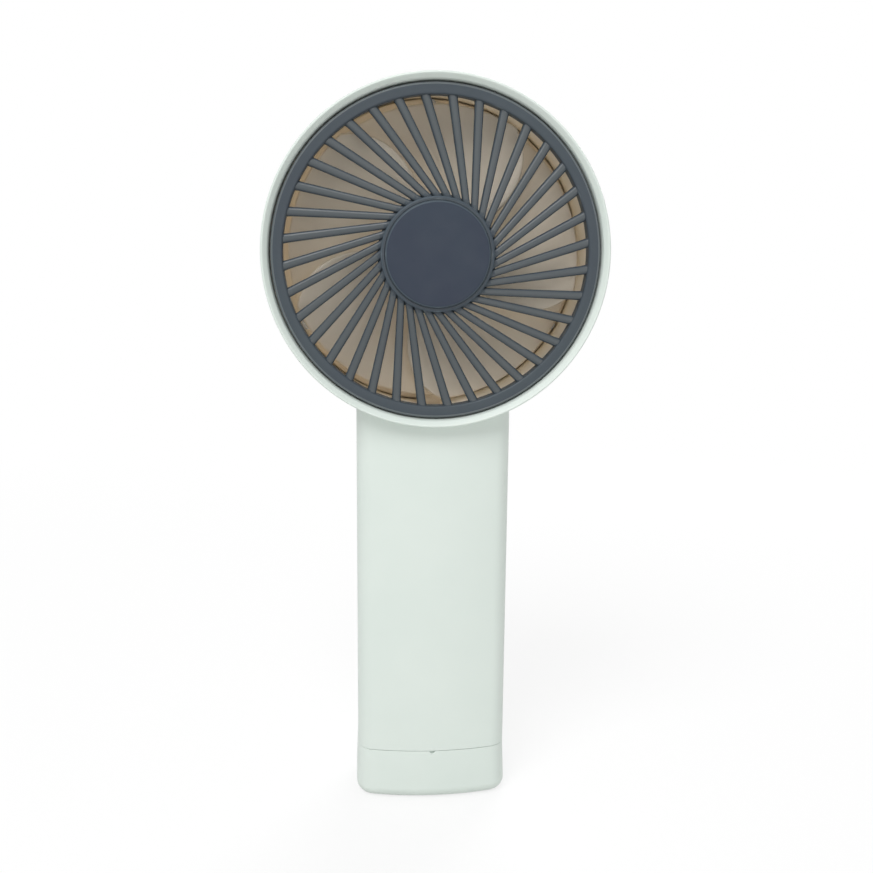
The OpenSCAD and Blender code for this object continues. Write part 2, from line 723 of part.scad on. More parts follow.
module front_bushing() {
    color([0.70, 0.55, 0.32]) on_head()
        ring(bushing_d / 2, shaft_d / 2 + fit, can_front_in, motor_front + collar_h);
}

module rear_bushing() {
    color([0.70, 0.55, 0.32]) on_head()
        ring(bushing_d / 2, shaft_d / 2 + fit, motor_back, bell_front);
}

// Three poles round the shaft, each a stem with a shoe
module armature_core() {
    r = armature_d / 2;
    wedge = 2 * r * turn(shoe_angle / 2);
    color([0.45, 0.46, 0.48]) on_head() translate([0, 0, core_mid - core_len / 2]) linear_extrude(core_len)
        difference() {
            union() {
                circle(r = core_hub_r);
                for (i = [0:2]) rotate(120 * i) {
                    translate([0, -stem_w / 2]) square([r - shoe_t / 2, stem_w]);
                    intersection() {
                        difference() {
                            circle(r = r);
                            circle(r = r - shoe_t);
                        }
                        polygon([[0, 0], [wedge[0], -wedge[1]], wedge]);
                    }
                }
            }
            circle(d = shaft_d + 2 * fit);
        }
}

module armature_windings() {
    coil_h = core_len + 2 * winding_over;
    color([0.72, 0.42, 0.22]) on_head() for (i = [0:2]) rotate([0, 0, 120 * i]) difference() {
        translate([coil_from, -coil_w / 2, core_mid - coil_h / 2]) cube([coil_run, coil_w, coil_h]);
        translate([coil_from - over, -stem_w / 2 - fit, core_mid - core_len / 2 - fit])
            cube([coil_run + 2 * over, stem_w + 2 * fit, core_len + 2 * fit]);
    }
}

module commutator() {
    color([0.80, 0.50, 0.30]) on_head()
        ring(commutator_d / 2, shaft_d / 2 + fit, commutator_back, commutator_front);
}

module motor_brushes() {
    brush_t = 0.9;
    brush_w = 1.6;
    color([0.20, 0.20, 0.20]) on_head() for (s = [0, 180]) rotate([0, 0, s])
        translate([commutator_d / 2 + slip, -brush_w / 2, bell_front])
            cube([brush_t, brush_w, 0.7 * (commutator_front - bell_front)]);
}

module section(d0, d1) {
    difference() {
        polygon(outline(d0));
        polygon(outline(d1));
    }
}

module band(y0, y1) {
    translate([-handle_w, y0]) square([2 * handle_w, y1 - y0]);
}

// What the head takes out of the top of the handle
module head_cut() {
    on_head() {
        cylinder(r = saddle_r, h = 2 * head_depth, center = true);
        translate([0, 0, front_w - lip_len - saddle_gap]) cylinder(r = lip_r + saddle_gap, h = head_depth);
    }
}

module handle_wall() {
    translate([0, 0, shell_bottom]) linear_extrude(shell_top - shell_bottom) children();
}

// Bosses that end in the middle of the shell's wall
module into_wall() {
    intersection() {
        children();
        translate([0, 0, shell_bottom]) linear_extrude(shell_top - shell_bottom) polygon(outline(wall / 2));
    }
}

module handle_front_shell() {
    color([0.87, 0.91, 0.88]) difference() {
        union() {
            handle_wall() difference() {
                intersection() {
                    section(0, wall);
                    band(-handle_t, 0);
                }
                intersection() {
                    section(wall - tongue_t - slip, wall + over);
                    band(-tongue_h - slip, over);
                }
            }
            into_wall() union() {
                for (s = [-1, 1]) rod_y(s * lower_screw_x, lower_screw_z, -handle_t / 2, 0, boss_round_d);
                for (s = [-1, 1]) rod_y(s * post_x, post_z, -handle_t / 2, -neck_t / 2 - slip, post_d);
            }
            for (s = [-1, 1]) rod_y(s * post_x, post_z, -neck_t / 2 - over, -neck_t / 4, screw_d - 2 * fit);
        }
        head_cut();
        for (s = [-1, 1])
            rod_y(s * lower_screw_x, lower_screw_z, lower_seat - screw_len - touch, over, screw_d + 2 * fit);
    }
}

module handle_rear_shell() {
    color([0.87, 0.91, 0.88]) difference() {
        union() {
            handle_wall() {
                intersection() {
                    section(0, wall);
                    band(0, handle_t);
                }
                intersection() {
                    section(wall - tongue_t, wall);
                    band(-tongue_h, over);
                }
            }
            into_wall() union() {
                for (s = [-1, 1]) rod_y(s * lower_screw_x, lower_screw_z, 0, handle_t / 2, boss_round_d);
                for (s = [-1, 1]) rod_y(s * post_x, post_z, neck_t / 2 + slip, handle_t / 2, boss_round_d);
                for (z = board_screw_z) rod_y(0, z, board_back, handle_t / 2, board_post_d);
                slot_y(usb_z, recess_w + 2 * recess_wall, recess_h + 2 * recess_wall,
                    recess_floor - recess_wall, handle_t / 2);
            }
        }
        head_cut();
        for (s = [-1, 1]) {
            rod_y(s * lower_screw_x, lower_screw_z, -over, handle_t, screw_d + 2 * slip);
            rod_y(s * lower_screw_x, lower_screw_z, lower_seat, handle_t, screw_head_d + 2 * touch);
            rod_y(s * post_x, post_z, 0, handle_t, screw_d + 2 * slip);
            rod_y(s * post_x, post_z, upper_seat, handle_t, screw_head_d + 2 * touch);
        }
        for (z = board_screw_z)
            rod_y(0, z, 0, board_back + board_screw_grip + 2 * touch, board_screw_d + 2 * fit);
        slot_y(usb_z, recess_w, recess_h, recess_floor, handle_t);
        slot_y(usb_z, usb_w + 2 * slip, usb_h + 2 * slip, 0, handle_t);
        rod_y(0, switch_z, 0, handle_t, button_d + 2 * button_gap);
        rod_y(0, led_z, 0, handle_t, pipe_d + 2 * slip);
    }
}

module screw_y(x, z, seat) {
    cross_w = 0.5;
    difference() {
        union() {
            rod_y(x, z, seat - screw_len, seat, screw_d);
            rod_y(x, z, seat, seat + screw_head_h, screw_head_d);
        }
        for (a = [0, 90]) translate([x, seat + screw_head_h, z]) rotate([0, a, 0])
            cube([0.6 * screw_head_d, screw_head_h, cross_w], center = true);
    }
}

module handle_screws() {
    color("silver") for (s = [-1, 1]) {
        screw_y(s * lower_screw_x, lower_screw_z, lower_seat);
        screw_y(s * post_x, post_z, upper_seat);
    }
}

module base_cap() {
    slice = 0.02;
    steps = 6;
    foot = base_round - cap_flare;
    color([0.87, 0.91, 0.88]) difference() {
        union() {
            hull() {
                for (a = [0:90 / steps:90]) translate([0, 0, base_round * (1 - sin(a))])
                    linear_extrude(slice) polygon(outline(base_round * (1 - cos(a)) - cap_flare));
                translate([0, 0, cap_h - slice]) linear_extrude(slice) polygon(outline(0));
            }
            linear_extrude(floor_t) polygon(outline(foot));
            translate([0, 0, cap_h - collar_depth]) linear_extrude(collar_depth + spigot_h)
                section(wall + spigot_gap, collar_in);
        }
        translate([0, 0, floor_t]) linear_extrude(cap_h - collar_depth - floor_t) polygon(outline(wall));
        translate([0, 0, floor_t]) linear_extrude(cap_h + spigot_h) polygon(outline(collar_in));
        rod_y(0, cap_h, -handle_t, notch_depth - handle_t / 2, notch_w);
    }
}

module battery() {
    color([0.35, 0.47, 0.62]) translate([-battery_w / 2, battery_front, battery_bottom])
        cube([battery_w, battery_t, battery_len]);
}

module battery_pad() {
    pad_front = slip - back_inner(pad_w / 2);
    color([0.25, 0.25, 0.27]) translate([-pad_w / 2, pad_front, battery_bottom + (battery_len - pad_len) / 2])
        cube([pad_w, battery_front - fit - pad_front, pad_len]);
}

module circuit_board() {
    color([0.05, 0.32, 0.17]) difference() {
        translate([-board_w / 2, board_front, board_bottom])
            cube([board_w, board_t, board_top - board_bottom]);
        for (z = board_screw_z) rod_y(0, z, board_front - over, board_back + over, board_screw_d + 2 * slip);
    }
}

module board_screws() {
    board_screw_len = board_t + board_screw_grip;
    color("silver") for (z = board_screw_z) {
        rod_y(0, z, board_front, board_front + board_screw_len, board_screw_d);
        rod_y(0, z, board_front - board_screw_head_h, board_front, 1.8 * board_screw_d);
    }
}

// A chip on the back of the board, at a height above the lower screw
module chip(x, rise, w, h, t) {
    translate([x - w / 2, board_back, board_screw_z[0] + rise - h / 2]) cube([w, t, h]);
}

// Charge controller, motor driver and choke
module board_chips() {
    chip_x = 4.4;
    chip_w = 4;
    charger_rise = 9;
    charger_h = 5;
    charger_t = 1.5;
    driver_rise = 11;
    driver_t = 1.2;
    choke_rise = 3.6;
    choke_w = 4.2;
    choke_t = 2.6;
    color([0.10, 0.10, 0.11]) {
        chip(-chip_x, charger_rise, chip_w, charger_h, charger_t);
        chip(chip_x, driver_rise, chip_w, chip_w, driver_t);
        chip(chip_x, choke_rise, choke_w, choke_w, choke_t);
    }
}

module usb_shell() {
    color([0.80, 0.80, 0.82]) difference() {
        slot_y(usb_z, usb_w, usb_h, board_back, usb_mouth);
        slot_y(usb_z, usb_w - 2 * usb_wall, usb_h - 2 * usb_wall, board_back - over, usb_mouth + over);
    }
}

module usb_tongue() {
    plug_w = usb_w - 2 * usb_wall - 2 * fit;
    plug_h = usb_h - 2 * usb_wall - 2 * fit;
    plug_len = 1.4;
    tongue_w = 6.7;
    tongue_h_usb = 0.7;
    tongue_set = 0.8;
    color([0.10, 0.10, 0.11]) {
        slot_y(usb_z, plug_w, plug_h, board_back, board_back + plug_len);
        translate([-tongue_w / 2, board_back, usb_z - tongue_h_usb / 2])
            cube([tongue_w, usb_len - tongue_set, tongue_h_usb]);
    }
}

module switch_body() {
    color([0.15, 0.15, 0.16]) difference() {
        translate([-switch_w / 2, board_back, switch_z - switch_w / 2]) cube([switch_w, switch_h, switch_w]);
        rod_y(0, switch_z, plunger_back - button_travel - touch, switch_front + over, plunger_d + 2 * slip);
    }
}

module switch_plunger() {
    color([0.85, 0.82, 0.75]) rod_y(0, switch_z, plunger_back, plunger_top, plunger_d);
}

module power_button() {
    edge = 0.6;
    dish = 0.3;
    flange_back = button_flange_top - button_flange_t;
    color([0.33, 0.37, 0.40]) translate([0, 0, switch_z]) rotate([-90, 0, 0]) rotate_extrude() polygon(concat(
        [[0, plunger_top], [plunger_d / 2, plunger_top], [plunger_d / 2, flange_back]],
        [[button_flange_r, flange_back], [button_flange_r, button_flange_top]],
        [[button_r, button_flange_top]],
        arc([button_r - edge, button_top - edge], edge, 0, 90, 5),
        [[0, button_top - dish]]));
}

module charge_led() {
    led_w = 1.6;
    color([0.95, 0.93, 0.80]) translate([-led_w / 2, board_back, led_z - led_w / 2])
        cube([led_w, led_h, led_w]);
}

module light_pipe() {
    flange_w = 0.8;
    flange_t = 1.1;
    flange_d = pipe_d + 2 * flange_w;
    flange_top = back_inner(flange_d / 2) - slip;
    color([0.92, 0.94, 0.95]) {
        rod_y(0, led_z, board_back + led_h + slip, handle_t / 2, pipe_d);
        rod_y(0, led_z, flange_top - flange_t, flange_top, flange_d);
    }
}

module motor_lead(side) {
    x = side * lead_x;
    pad_x = side * motor_pad_x;
    lead([
        [x, -lead_run_w, head_z - motor_d / 2 - slip],
        [x, -lead_run_w, head_z - 0.5 * guard_in_r],
        [x, -lead_run_w, head_z - guard_in_r + lead_bend],
        [x, -guard_front - lead_d, head_z - guard_in_r + touch],
        [x, wire_y + 2 * lead_d, head_z - duct_r + lead_lift],
        [x, wire_y, head_z - barrel_r - lead_lift],
        [x, wire_y, neck_bottom + lead_bend],
        [1.6 * x, 0.5 * (wire_y + motor_pad_y) + touch, neck_bottom - touch],
        [pad_x, motor_pad_y, board_top - touch],
        [pad_x, motor_pad_y, board_top - motor_pad_drop]
    ]);
}

module motor_lead_red() {
    color([0.70, 0.10, 0.10]) motor_lead(1);
}

module motor_lead_black() {
    color([0.08, 0.08, 0.08]) motor_lead(-1);
}

module battery_lead(side) {
    x = side * cell_lead_x;
    pad_x = side * cell_pad_x;
    mid_y = battery_back - battery_t / 2;
    lead([
        [x, mid_y, battery_top],
        [x, mid_y, battery_top + lead_bend / 2],
        [1.1 * x, mid_y + lead_d / 2, 0.5 * (battery_top + board_top) + lead_d],
        [1.3 * x, cell_pad_y - lead_lift, board_top - lead_d / 2],
        [pad_x, cell_pad_y, board_top - lead_bend / 2],
        [pad_x, cell_pad_y, board_top - lead_bend]
    ]);
}

module battery_lead_red() {
    color([0.70, 0.10, 0.10]) battery_lead(1);
}

module battery_lead_black() {
    color([0.08, 0.08, 0.08]) battery_lead(-1);
}

head_barrel();
front_grille();
hub_cap();
rear_guard();
guard_screws();
impeller();
motor_can();
motor_end_bell();
motor_magnets();
motor_shaft();
front_bushing();
rear_bushing();
armature_core();
armature_windings();
commutator();
motor_brushes();
handle_front_shell();
handle_rear_shell();
handle_screws();
base_cap();
battery();
battery_pad();
circuit_board();
board_screws();
board_chips();
usb_shell();
usb_tongue();
switch_body();
switch_plunger();
power_button();
charge_led();
light_pipe();
motor_lead_red();
motor_lead_black();
battery_lead_red();
battery_lead_black();
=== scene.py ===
import math

import bpy
from mathutils import Matrix, Vector


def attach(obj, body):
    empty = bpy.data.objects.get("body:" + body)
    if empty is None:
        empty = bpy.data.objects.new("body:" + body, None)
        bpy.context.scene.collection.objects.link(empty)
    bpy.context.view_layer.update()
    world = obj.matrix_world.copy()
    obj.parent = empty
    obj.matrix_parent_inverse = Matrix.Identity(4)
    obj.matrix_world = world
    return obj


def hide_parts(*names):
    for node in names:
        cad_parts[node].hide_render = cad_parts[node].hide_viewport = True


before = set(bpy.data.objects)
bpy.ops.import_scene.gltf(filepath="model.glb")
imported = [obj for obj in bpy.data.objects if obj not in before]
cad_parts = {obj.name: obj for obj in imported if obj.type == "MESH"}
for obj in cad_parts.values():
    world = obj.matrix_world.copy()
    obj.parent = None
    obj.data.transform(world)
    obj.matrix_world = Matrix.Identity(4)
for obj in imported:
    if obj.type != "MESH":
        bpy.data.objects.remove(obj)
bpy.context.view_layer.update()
scene = bpy.context.scene
scene.view_settings.view_transform = "Standard"
mm = 0.001
headHeight = 147  # the head's axis, in millimetres above the table
headZ = headHeight * mm
past = 30  # where a cutter ends, in millimetres, beyond every face
slack = 0.01  # millimetres, where faces are picked by their place
square = 0.99  # a normal's share along an axis, above which its face is square to it
weldGap = 0.002  # millimetres
smoothAngle = 35  # degrees
noiseMiddle = (0.3, 0.7)  # where most of a noise's values lie
print("frame loaded,", len(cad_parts), "nodes")


# selection and editing

def clearSelection():
    if bpy.context.mode != "OBJECT":
        bpy.ops.object.mode_set(mode="OBJECT")
    bpy.ops.object.select_all(action="DESELECT")


def pick(*objs):  # these alone are selected, and the first is active
    clearSelection()
    for obj in objs:
        obj.select_set(True)
    bpy.context.view_layer.objects.active = objs[0]


def openForEdit(obj):
    pick(obj)
    bpy.ops.object.mode_set(mode="EDIT")
    bpy.ops.mesh.select_all(action="SELECT")


def nameIt(name):  # names the object that an operator has just added
    obj = bpy.context.object
    obj.name = name
    obj.data.name = name
    return obj


def chooseFaces(obj, wanted):
    bpy.ops.mesh.select_mode(type="FACE")
    bpy.ops.mesh.select_all(action="DESELECT")
    bpy.ops.object.mode_set(mode="OBJECT")
    for face in obj.data.polygons:
        face.select = wanted(face)
    bpy.ops.object.mode_set(mode="EDIT")


def weld():
    bpy.ops.mesh.select_all(action="SELECT")
    bpy.ops.mesh.remove_doubles(threshold=weldGap * mm)
    bpy.ops.mesh.normals_make_consistent(inside=False)
    bpy.ops.object.mode_set(mode="OBJECT")


def dropSlivers(obj, thinnest):  # needle faces that cuts and bevels leave behind
    openForEdit(obj)
    bpy.ops.mesh.dissolve_degenerate(threshold=thinnest * mm)
    weld()


def extrude(step):  # pulls out what is selected
    bpy.ops.mesh.extrude_region_move(TRANSFORM_OT_translate={"value": step})


def applyModifier(obj, kind, **values):
    pick(obj)
    added = obj.modifiers.new(kind.lower(), kind)
    for key, value in values.items():
        setattr(added, key, value)
    bpy.ops.object.modifier_apply(modifier=added.name)


def softenEdges(obj, width, segments=2, angle=40):  # the width is in millimetres
    applyModifier(obj, "BEVEL", width=width * mm, segments=segments, limit_method="ANGLE",
                  angle_limit=math.radians(angle), use_clamp_overlap=True)


def combine(obj, tool, operation):  # DIFFERENCE or UNION with a tool that is then thrown away
    applyModifier(obj, "BOOLEAN", object=tool, operation=operation, solver="EXACT")
    bpy.data.objects.remove(tool)


def joinAll(objs, name):
    pick(*objs)
    bpy.ops.object.join()
    return nameIt(name)


def copyOf(obj, move):
    twin = obj.copy()
    twin.data = obj.data.copy()
    twin.data.transform(move)
    scene.collection.objects.link(twin)
    return twin


# shapes drawn point by point

def arc(x, y, radius, start, end, steps):
    turns = [math.radians(start + (end - start) * i / steps) for i in range(steps + 1)]
    return [(x + radius * math.cos(a), y + radius * math.sin(a)) for a in turns]


def drawLoop(name, points):  # one vertex pulled along the points, then filled, left in edit mode
    clearSelection()
    bpy.ops.mesh.primitive_plane_add(size=mm)
    obj = nameIt(name)
    bpy.ops.object.mode_set(mode="EDIT")
    bpy.ops.mesh.select_mode(type="VERT")
    bpy.ops.mesh.merge(type="CENTER")
    bpy.ops.transform.translate(value=points[0])
    for here, there in zip(points, points[1:]):
        extrude(Vector(there) - Vector(here))
    bpy.ops.mesh.select_all(action="SELECT")
    bpy.ops.mesh.edge_face_add()
    return obj


# a profile of radius and forward distance, in millimetres, spun round an axis along Y
def turned(name, profile, centre=(0, 0, headZ), out=-1, steps=128):
    spot = Vector(centre)
    points = [spot + Vector((r * mm, out * w * mm, 0)) for r, w in profile]
    obj = drawLoop(name, points)
    bpy.ops.mesh.delete(type="ONLY_FACE")
    bpy.ops.mesh.select_all(action="SELECT")
    bpy.ops.mesh.spin(steps=steps, angle=2 * math.pi, center=centre, axis=(0, 1, 0))
    weld()
    return obj


def addBlock(name, centre, size):  # a block to be shaped, cut with or added, in millimetres
    clearSelection()
    place, sides = [c * mm for c in centre], [c * mm for c in size]
    bpy.ops.mesh.primitive_cube_add(size=1, location=place, scale=sides)
    obj = nameIt(name)
    bpy.ops.object.transform_apply(location=True, rotation=True, scale=True)
    return obj


def rodY(name, x, z, y0, y1, diameter, sides=48):  # a round cutter or boss along Y, in millimetres
    clearSelection()
    bpy.ops.mesh.primitive_cylinder_add(
        vertices=sides, radius=diameter / 2 * mm, depth=(y1 - y0) * mm,
        location=(x * mm, (y0 + y1) / 2 * mm, z * mm), rotation=(math.pi / 2, 0, 0))
    obj = nameIt(name)
    bpy.ops.object.transform_apply(location=True, rotation=True, scale=True)
    return obj


def slotPoints(z, width, height, y):  # outline of a slot with round ends, seen from the back
    reach = (width - height) / 2
    ends = arc(reach, z, height / 2, -90, 90, 16) + arc(-reach, z, height / 2, 90, 270, 16)
    return [(x * mm, y * mm, h * mm) for x, h in ends]


def slotY(name, z, width, height, y0, y1):
    obj = drawLoop(name, slotPoints(z, width, height, y0))
    extrude((0, (y1 - y0) * mm, 0))
    weld()
    return obj


def aroundHead(obj, count, first=0):  # copies round the head's axis, in place of the original
    spot = Matrix.Translation((0, 0, headZ))
    made = []
    for i in range(count):
        turn = Matrix.Rotation(-math.radians(first + 360 * i / count), 4, "Y")
        made.append(copyOf(obj, spot @ turn @ spot.inverted()))
    bpy.data.objects.remove(obj)
    return made


# materials

def tone(red, green, blue):  # screen colour, 0 to 255, as the linear colour that shaders use
    parts = [c / 255 for c in (red, green, blue)]
    return [c / 12.92 if c <= 0.04045 else ((c + 0.055) / 1.055) ** 2.4 for c in parts] + [1]


def startMaterial(name):
    material = bpy.data.materials.new(name)
    material.use_nodes = True
    tree = material.node_tree
    return material, tree, tree.nodes["Principled BSDF"]


def addNode(tree, kind, **values):
    node = tree.nodes.new(kind)
    for key, value in values.items():
        if key in node.inputs:
            node.inputs[key].default_value = value
        else:
            setattr(node, key, value)
    return node


def noiseOn(tree, coords, scale, detail):
    node = addNode(tree, "ShaderNodeTexNoise", Scale=scale, Detail=detail)
    tree.links.new(coords.outputs["Object"], node.inputs["Vector"])
    return node


def mapRange(tree, source, fromRange, toRange):
    node = addNode(tree, "ShaderNodeMapRange")
    ends = ("From Min", "From Max", "To Min", "To Max")
    for key, value in zip(ends, (*fromRange, *toRange)):
        node.inputs[key].default_value = value
    tree.links.new(source, node.inputs["Value"])
    return node.outputs["Result"]


def spread(tree, noise, low, high):  # a noise's middle range mapped on low to high
    return mapRange(tree, noise.outputs["Fac"], noiseMiddle, (low, high))


def mixColours(tree, factor, second):  # the first colour is set or linked afterwards
    node = addNode(tree, "ShaderNodeMix", data_type="RGBA")
    node.inputs["B"].default_value = second
    tree.links.new(factor, node.inputs["Factor"])
    return node


def roughen(tree, shader, noise, strength, depth):  # fine relief, its depth in millimetres
    bump = addNode(tree, "ShaderNodeBump", Strength=strength, Distance=depth * mm)
    tree.links.new(noise.outputs["Fac"], bump.inputs["Height"])
    tree.links.new(bump.outputs["Normal"], shader.inputs["Normal"])


plastic = {
    "driftScale": 38,
    "driftDetail": 3,
    "wearRange": (0.53, 0.66),  # pointiness where wear starts and where it is full
    "wearMost": 0.6,
    "glossScale": 210,
    "glossDetail": 4,
    "glossRange": (0.05, 0.06),
    "grainDetail": 2,
    "grainStrength": 0.35,
}


# moulded plastic: slow drift of colour, paler worn edges, spark-eroded grain and uneven gloss
def mouldedPlastic(name, colour, drift, edge, gloss, grain, depth, shine=0.5):
    p = plastic
    material, tree, shader = startMaterial(name)
    shader.inputs["Specular IOR Level"].default_value = shine
    link = tree.links.new
    coords = addNode(tree, "ShaderNodeTexCoord")
    clouds = noiseOn(tree, coords, p["driftScale"], p["driftDetail"])
    paint = mixColours(tree, spread(tree, clouds, 0, 1), drift)
    paint.inputs["A"].default_value = colour
    shape = addNode(tree, "ShaderNodeNewGeometry")
    rubbed = mapRange(tree, shape.outputs["Pointiness"], p["wearRange"], (0, p["wearMost"]))
    worn = mixColours(tree, rubbed, edge)
    link(paint.outputs["Result"], worn.inputs["A"])
    link(worn.outputs["Result"], shader.inputs["Base Color"])
    handling = noiseOn(tree, coords, p["glossScale"], p["glossDetail"])
    less, more = p["glossRange"]
    link(spread(tree, handling, gloss - less, gloss + more), shader.inputs["Roughness"])
    spark = noiseOn(tree, coords, 1 / (grain * mm), p["grainDetail"])
    roughen(tree, shader, spark, p["grainStrength"], depth)
    return material


metal = {
    "stainDetail": 4,
    "scratchTimes": 6,  # how much finer the scratches are than the stains
    "scratchDetail": 3,
    "scratchStrength": 0.2,
    "scratchDepth": 0.01,
    "glossRange": (0.08, 0.1),
}


def bareMetal(name, colour, dark, gloss, scale):
    m = metal
    material, tree, shader = startMaterial(name)
    link = tree.links.new
    coords = addNode(tree, "ShaderNodeTexCoord")
    stain = noiseOn(tree, coords, scale, m["stainDetail"])
    paint = mixColours(tree, spread(tree, stain, 0, 1), dark)
    paint.inputs["A"].default_value = colour
    link(paint.outputs["Result"], shader.inputs["Base Color"])
    shader.inputs["Metallic"].default_value = 1
    scratch = noiseOn(tree, coords, scale * m["scratchTimes"], m["scratchDetail"])
    less, more = m["glossRange"]
    link(spread(tree, scratch, gloss - less, gloss + more), shader.inputs["Roughness"])
    roughen(tree, shader, scratch, m["scratchStrength"], m["scratchDepth"])
    return material


haze = {
    "scale": 900,
    "detail": 3,
    "glossRange": (0.12, 0.3),
    "through": 0.85,
    "bending": 1.49,
}


def clearPlastic(name, colour):
    material, tree, shader = startMaterial(name)
    coords = addNode(tree, "ShaderNodeTexCoord")
    mist = noiseOn(tree, coords, haze["scale"], haze["detail"])
    shader.inputs["Base Color"].default_value = colour
    shader.inputs["Transmission Weight"].default_value = haze["through"]
    shader.inputs["IOR"].default_value = haze["bending"]
    tree.links.new(spread(tree, mist, *haze["glossRange"]), shader.inputs["Roughness"])
    return material


finish = {
    "shell": mouldedPlastic("pale_mint_shell", tone(222, 231, 225), tone(218, 228, 222),
                            tone(229, 236, 231), 0.42, 0.22, 0.012),
    "slate": mouldedPlastic("slate_moulding", tone(66, 75, 81), tone(62, 70, 78),
                            tone(99, 108, 113), 0.42, 0.2, 0.014, 0.3),
    # paler spoke fronts: a painted highlight
    "spoke": mouldedPlastic("slate_spokes_painted_highlight", tone(73, 79, 82), tone(68, 75, 79),
                            tone(112, 118, 120), 0.36, 0.2, 0.012, 0.5),
    # the rim's paler outer shoulder: partly a worn edge, partly a painted highlight
    "rimWearAndHighlight": mouldedPlastic("slate_rim_wear_and_painted_highlight", tone(101, 108, 111), tone(94, 101, 105),
                          tone(120, 127, 129), 0.38, 0.2, 0.01, 0.4),
    "disc": mouldedPlastic("slate_hub_disc", tone(44, 56, 69), tone(43, 51, 67),
                           tone(86, 98, 108), 0.42, 0.2, 0.01, 0.3),
    # paler edge round of the hub disc and the hub ring's brow: a painted highlight
    "discEdgeHighlight": mouldedPlastic("slate_disc_edge_painted_highlight", tone(78, 89, 97), tone(73, 83, 92),
                               tone(98, 109, 117), 0.4, 0.2, 0.008, 0.15),
    "sand": mouldedPlastic("sand_blades", tone(238, 228, 211), tone(232, 220, 201),
                           tone(242, 234, 220), 0.4, 0.3, 0.01),
    "duct": mouldedPlastic("sand_duct", tone(240, 229, 212), tone(232, 214, 188),
                           tone(242, 233, 218), 0.45, 0.3, 0.01),
    "black": mouldedPlastic("black_moulding", tone(34, 34, 37), tone(29, 29, 32),
                            tone(52, 52, 55), 0.45, 0.2, 0.012),
    "ivory": mouldedPlastic("ivory_moulding", tone(218, 210, 192), tone(212, 203, 184),
                            tone(226, 220, 205), 0.4, 0.2, 0.01),
    "board": mouldedPlastic("board_green", tone(22, 84, 48), tone(18, 74, 42),
                            tone(60, 120, 86), 0.35, 0.5, 0.012),
    "foam": mouldedPlastic("grey_foam", tone(70, 70, 74), tone(58, 58, 62),
                           tone(84, 84, 88), 0.85, 0.5, 0.12),
    "redLead": mouldedPlastic("red_insulation", tone(172, 30, 30), tone(160, 24, 26),
                              tone(186, 60, 58), 0.4, 0.2, 0.006),
    "blackLead": mouldedPlastic("black_insulation", tone(26, 26, 28), tone(22, 22, 24),
                                tone(48, 48, 50), 0.4, 0.2, 0.006),
    "lamp": mouldedPlastic("lamp_lens", tone(236, 230, 200), tone(232, 224, 190),
                           tone(242, 238, 216), 0.3, 0.2, 0.004),
    "ferrite": mouldedPlastic("ferrite_magnet", tone(60, 58, 58), tone(50, 49, 49),
                              tone(82, 80, 80), 0.6, 0.15, 0.02),
    "steel": bareMetal("bare_steel", tone(196, 197, 199), tone(176, 178, 181), 0.32, 700),
    "bronze": bareMetal("sintered_bronze", tone(190, 150, 96), tone(164, 126, 76), 0.42, 900),
    "copper": bareMetal("copper_wire", tone(204, 128, 84), tone(178, 104, 64), 0.3, 1100),
    "foil": bareMetal("cell_foil", tone(150, 166, 186), tone(132, 150, 172), 0.36, 160),
    "gold": bareMetal("gold_contacts", tone(226, 186, 108), tone(208, 166, 90), 0.25, 1400),
    "clear": clearPlastic("clear_pipe", tone(238, 242, 244)),
}
print("materials ready:", len(finish))


def settle(obj, look, slot, body, *nodes):  # last steps of every piece
    pick(obj)
    bpy.ops.object.shade_smooth_by_angle(angle=math.radians(smoothAngle))
    obj.data.materials.clear()
    obj.data.materials.append(finish[look])
    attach(obj, body)
    if nodes:
        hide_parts(*nodes)
    print("made", obj.name, "with", len(obj.data.polygons), "faces")


# a second finish on the faces between two radii and two forward distances of the head,
# and where a facing is given, only on those that look ahead by more than that
def paintFaces(obj, look, inner, outer, behind, ahead, facing=-2):
    obj.data.materials.append(finish[look])
    last = len(obj.data.materials) - 1
    for face in obj.data.polygons:
        away = math.hypot(face.center.x, face.center.z - headZ) / mm
        forward = -face.center.y / mm
        within = inner < away < outer + slack and behind < forward < ahead + slack
        if within and -face.normal.y > facing:
            face.material_index = last


def evenShading(obj):  # broad faces set the normals, so holes leave no streaks
    applyModifier(obj, "WEIGHTED_NORMAL", keep_sharp=True, weight=90)


# camera

shot = {
    "place": (-20.45 * mm, -274.34 * mm, 151.04 * mm),
    "yaw": -4.557,  # degrees, like pitch and roll
    "pitch": 79.206,
    "roll": 0.498,
    "lens": 43.005,
    "sensor": 36,
    "near": 0.01,
}
clearSelection()
bpy.ops.object.camera_add(location=shot["place"])
camera = bpy.context.object
turnHead = Matrix.Rotation(math.radians(shot["yaw"]), 3, "Z")
tipDown = Matrix.Rotation(math.radians(shot["pitch"]), 3, "X")
lean = Matrix.Rotation(math.radians(shot["roll"]), 3, "Z")
camera.rotation_euler = (turnHead @ tipDown @ lean).to_euler()
camera.data.sensor_width = shot["sensor"]
camera.data.lens = shot["lens"]
camera.data.clip_start = shot["near"]
scene.camera = camera
print("camera set")


# floor, world and lamps

studio = {
    "floorSize": 12,  # metres, like the fade and the lamps
    "floorDrop": 0.05,  # millimetres
    "floorBounce": tone(222, 222, 220),
    "paper": (0.95, 0.95, 0.95, 1),
    "white": (1, 1, 1, 1),
    "fadeRange": (0.08, 0.5),
    "shadowShare": 0.27,
    "worldLight": 0.48,
    "lamps": [  # name, place, power, size and what it is aimed at
        ("key_lamp", (-0.34, -0.72, 0.97), 8.0, 0.75, (0, 0, 0.11)),
        ("fill_lamp", (0.12, -1.0, 0.12), 1.2, 0.5, (0, 0, headZ)),
        ("back_lamp", (0.35, 0.9, 0.45), 5.6, 0.8, (0, 0, 0.11)),
    ],
}


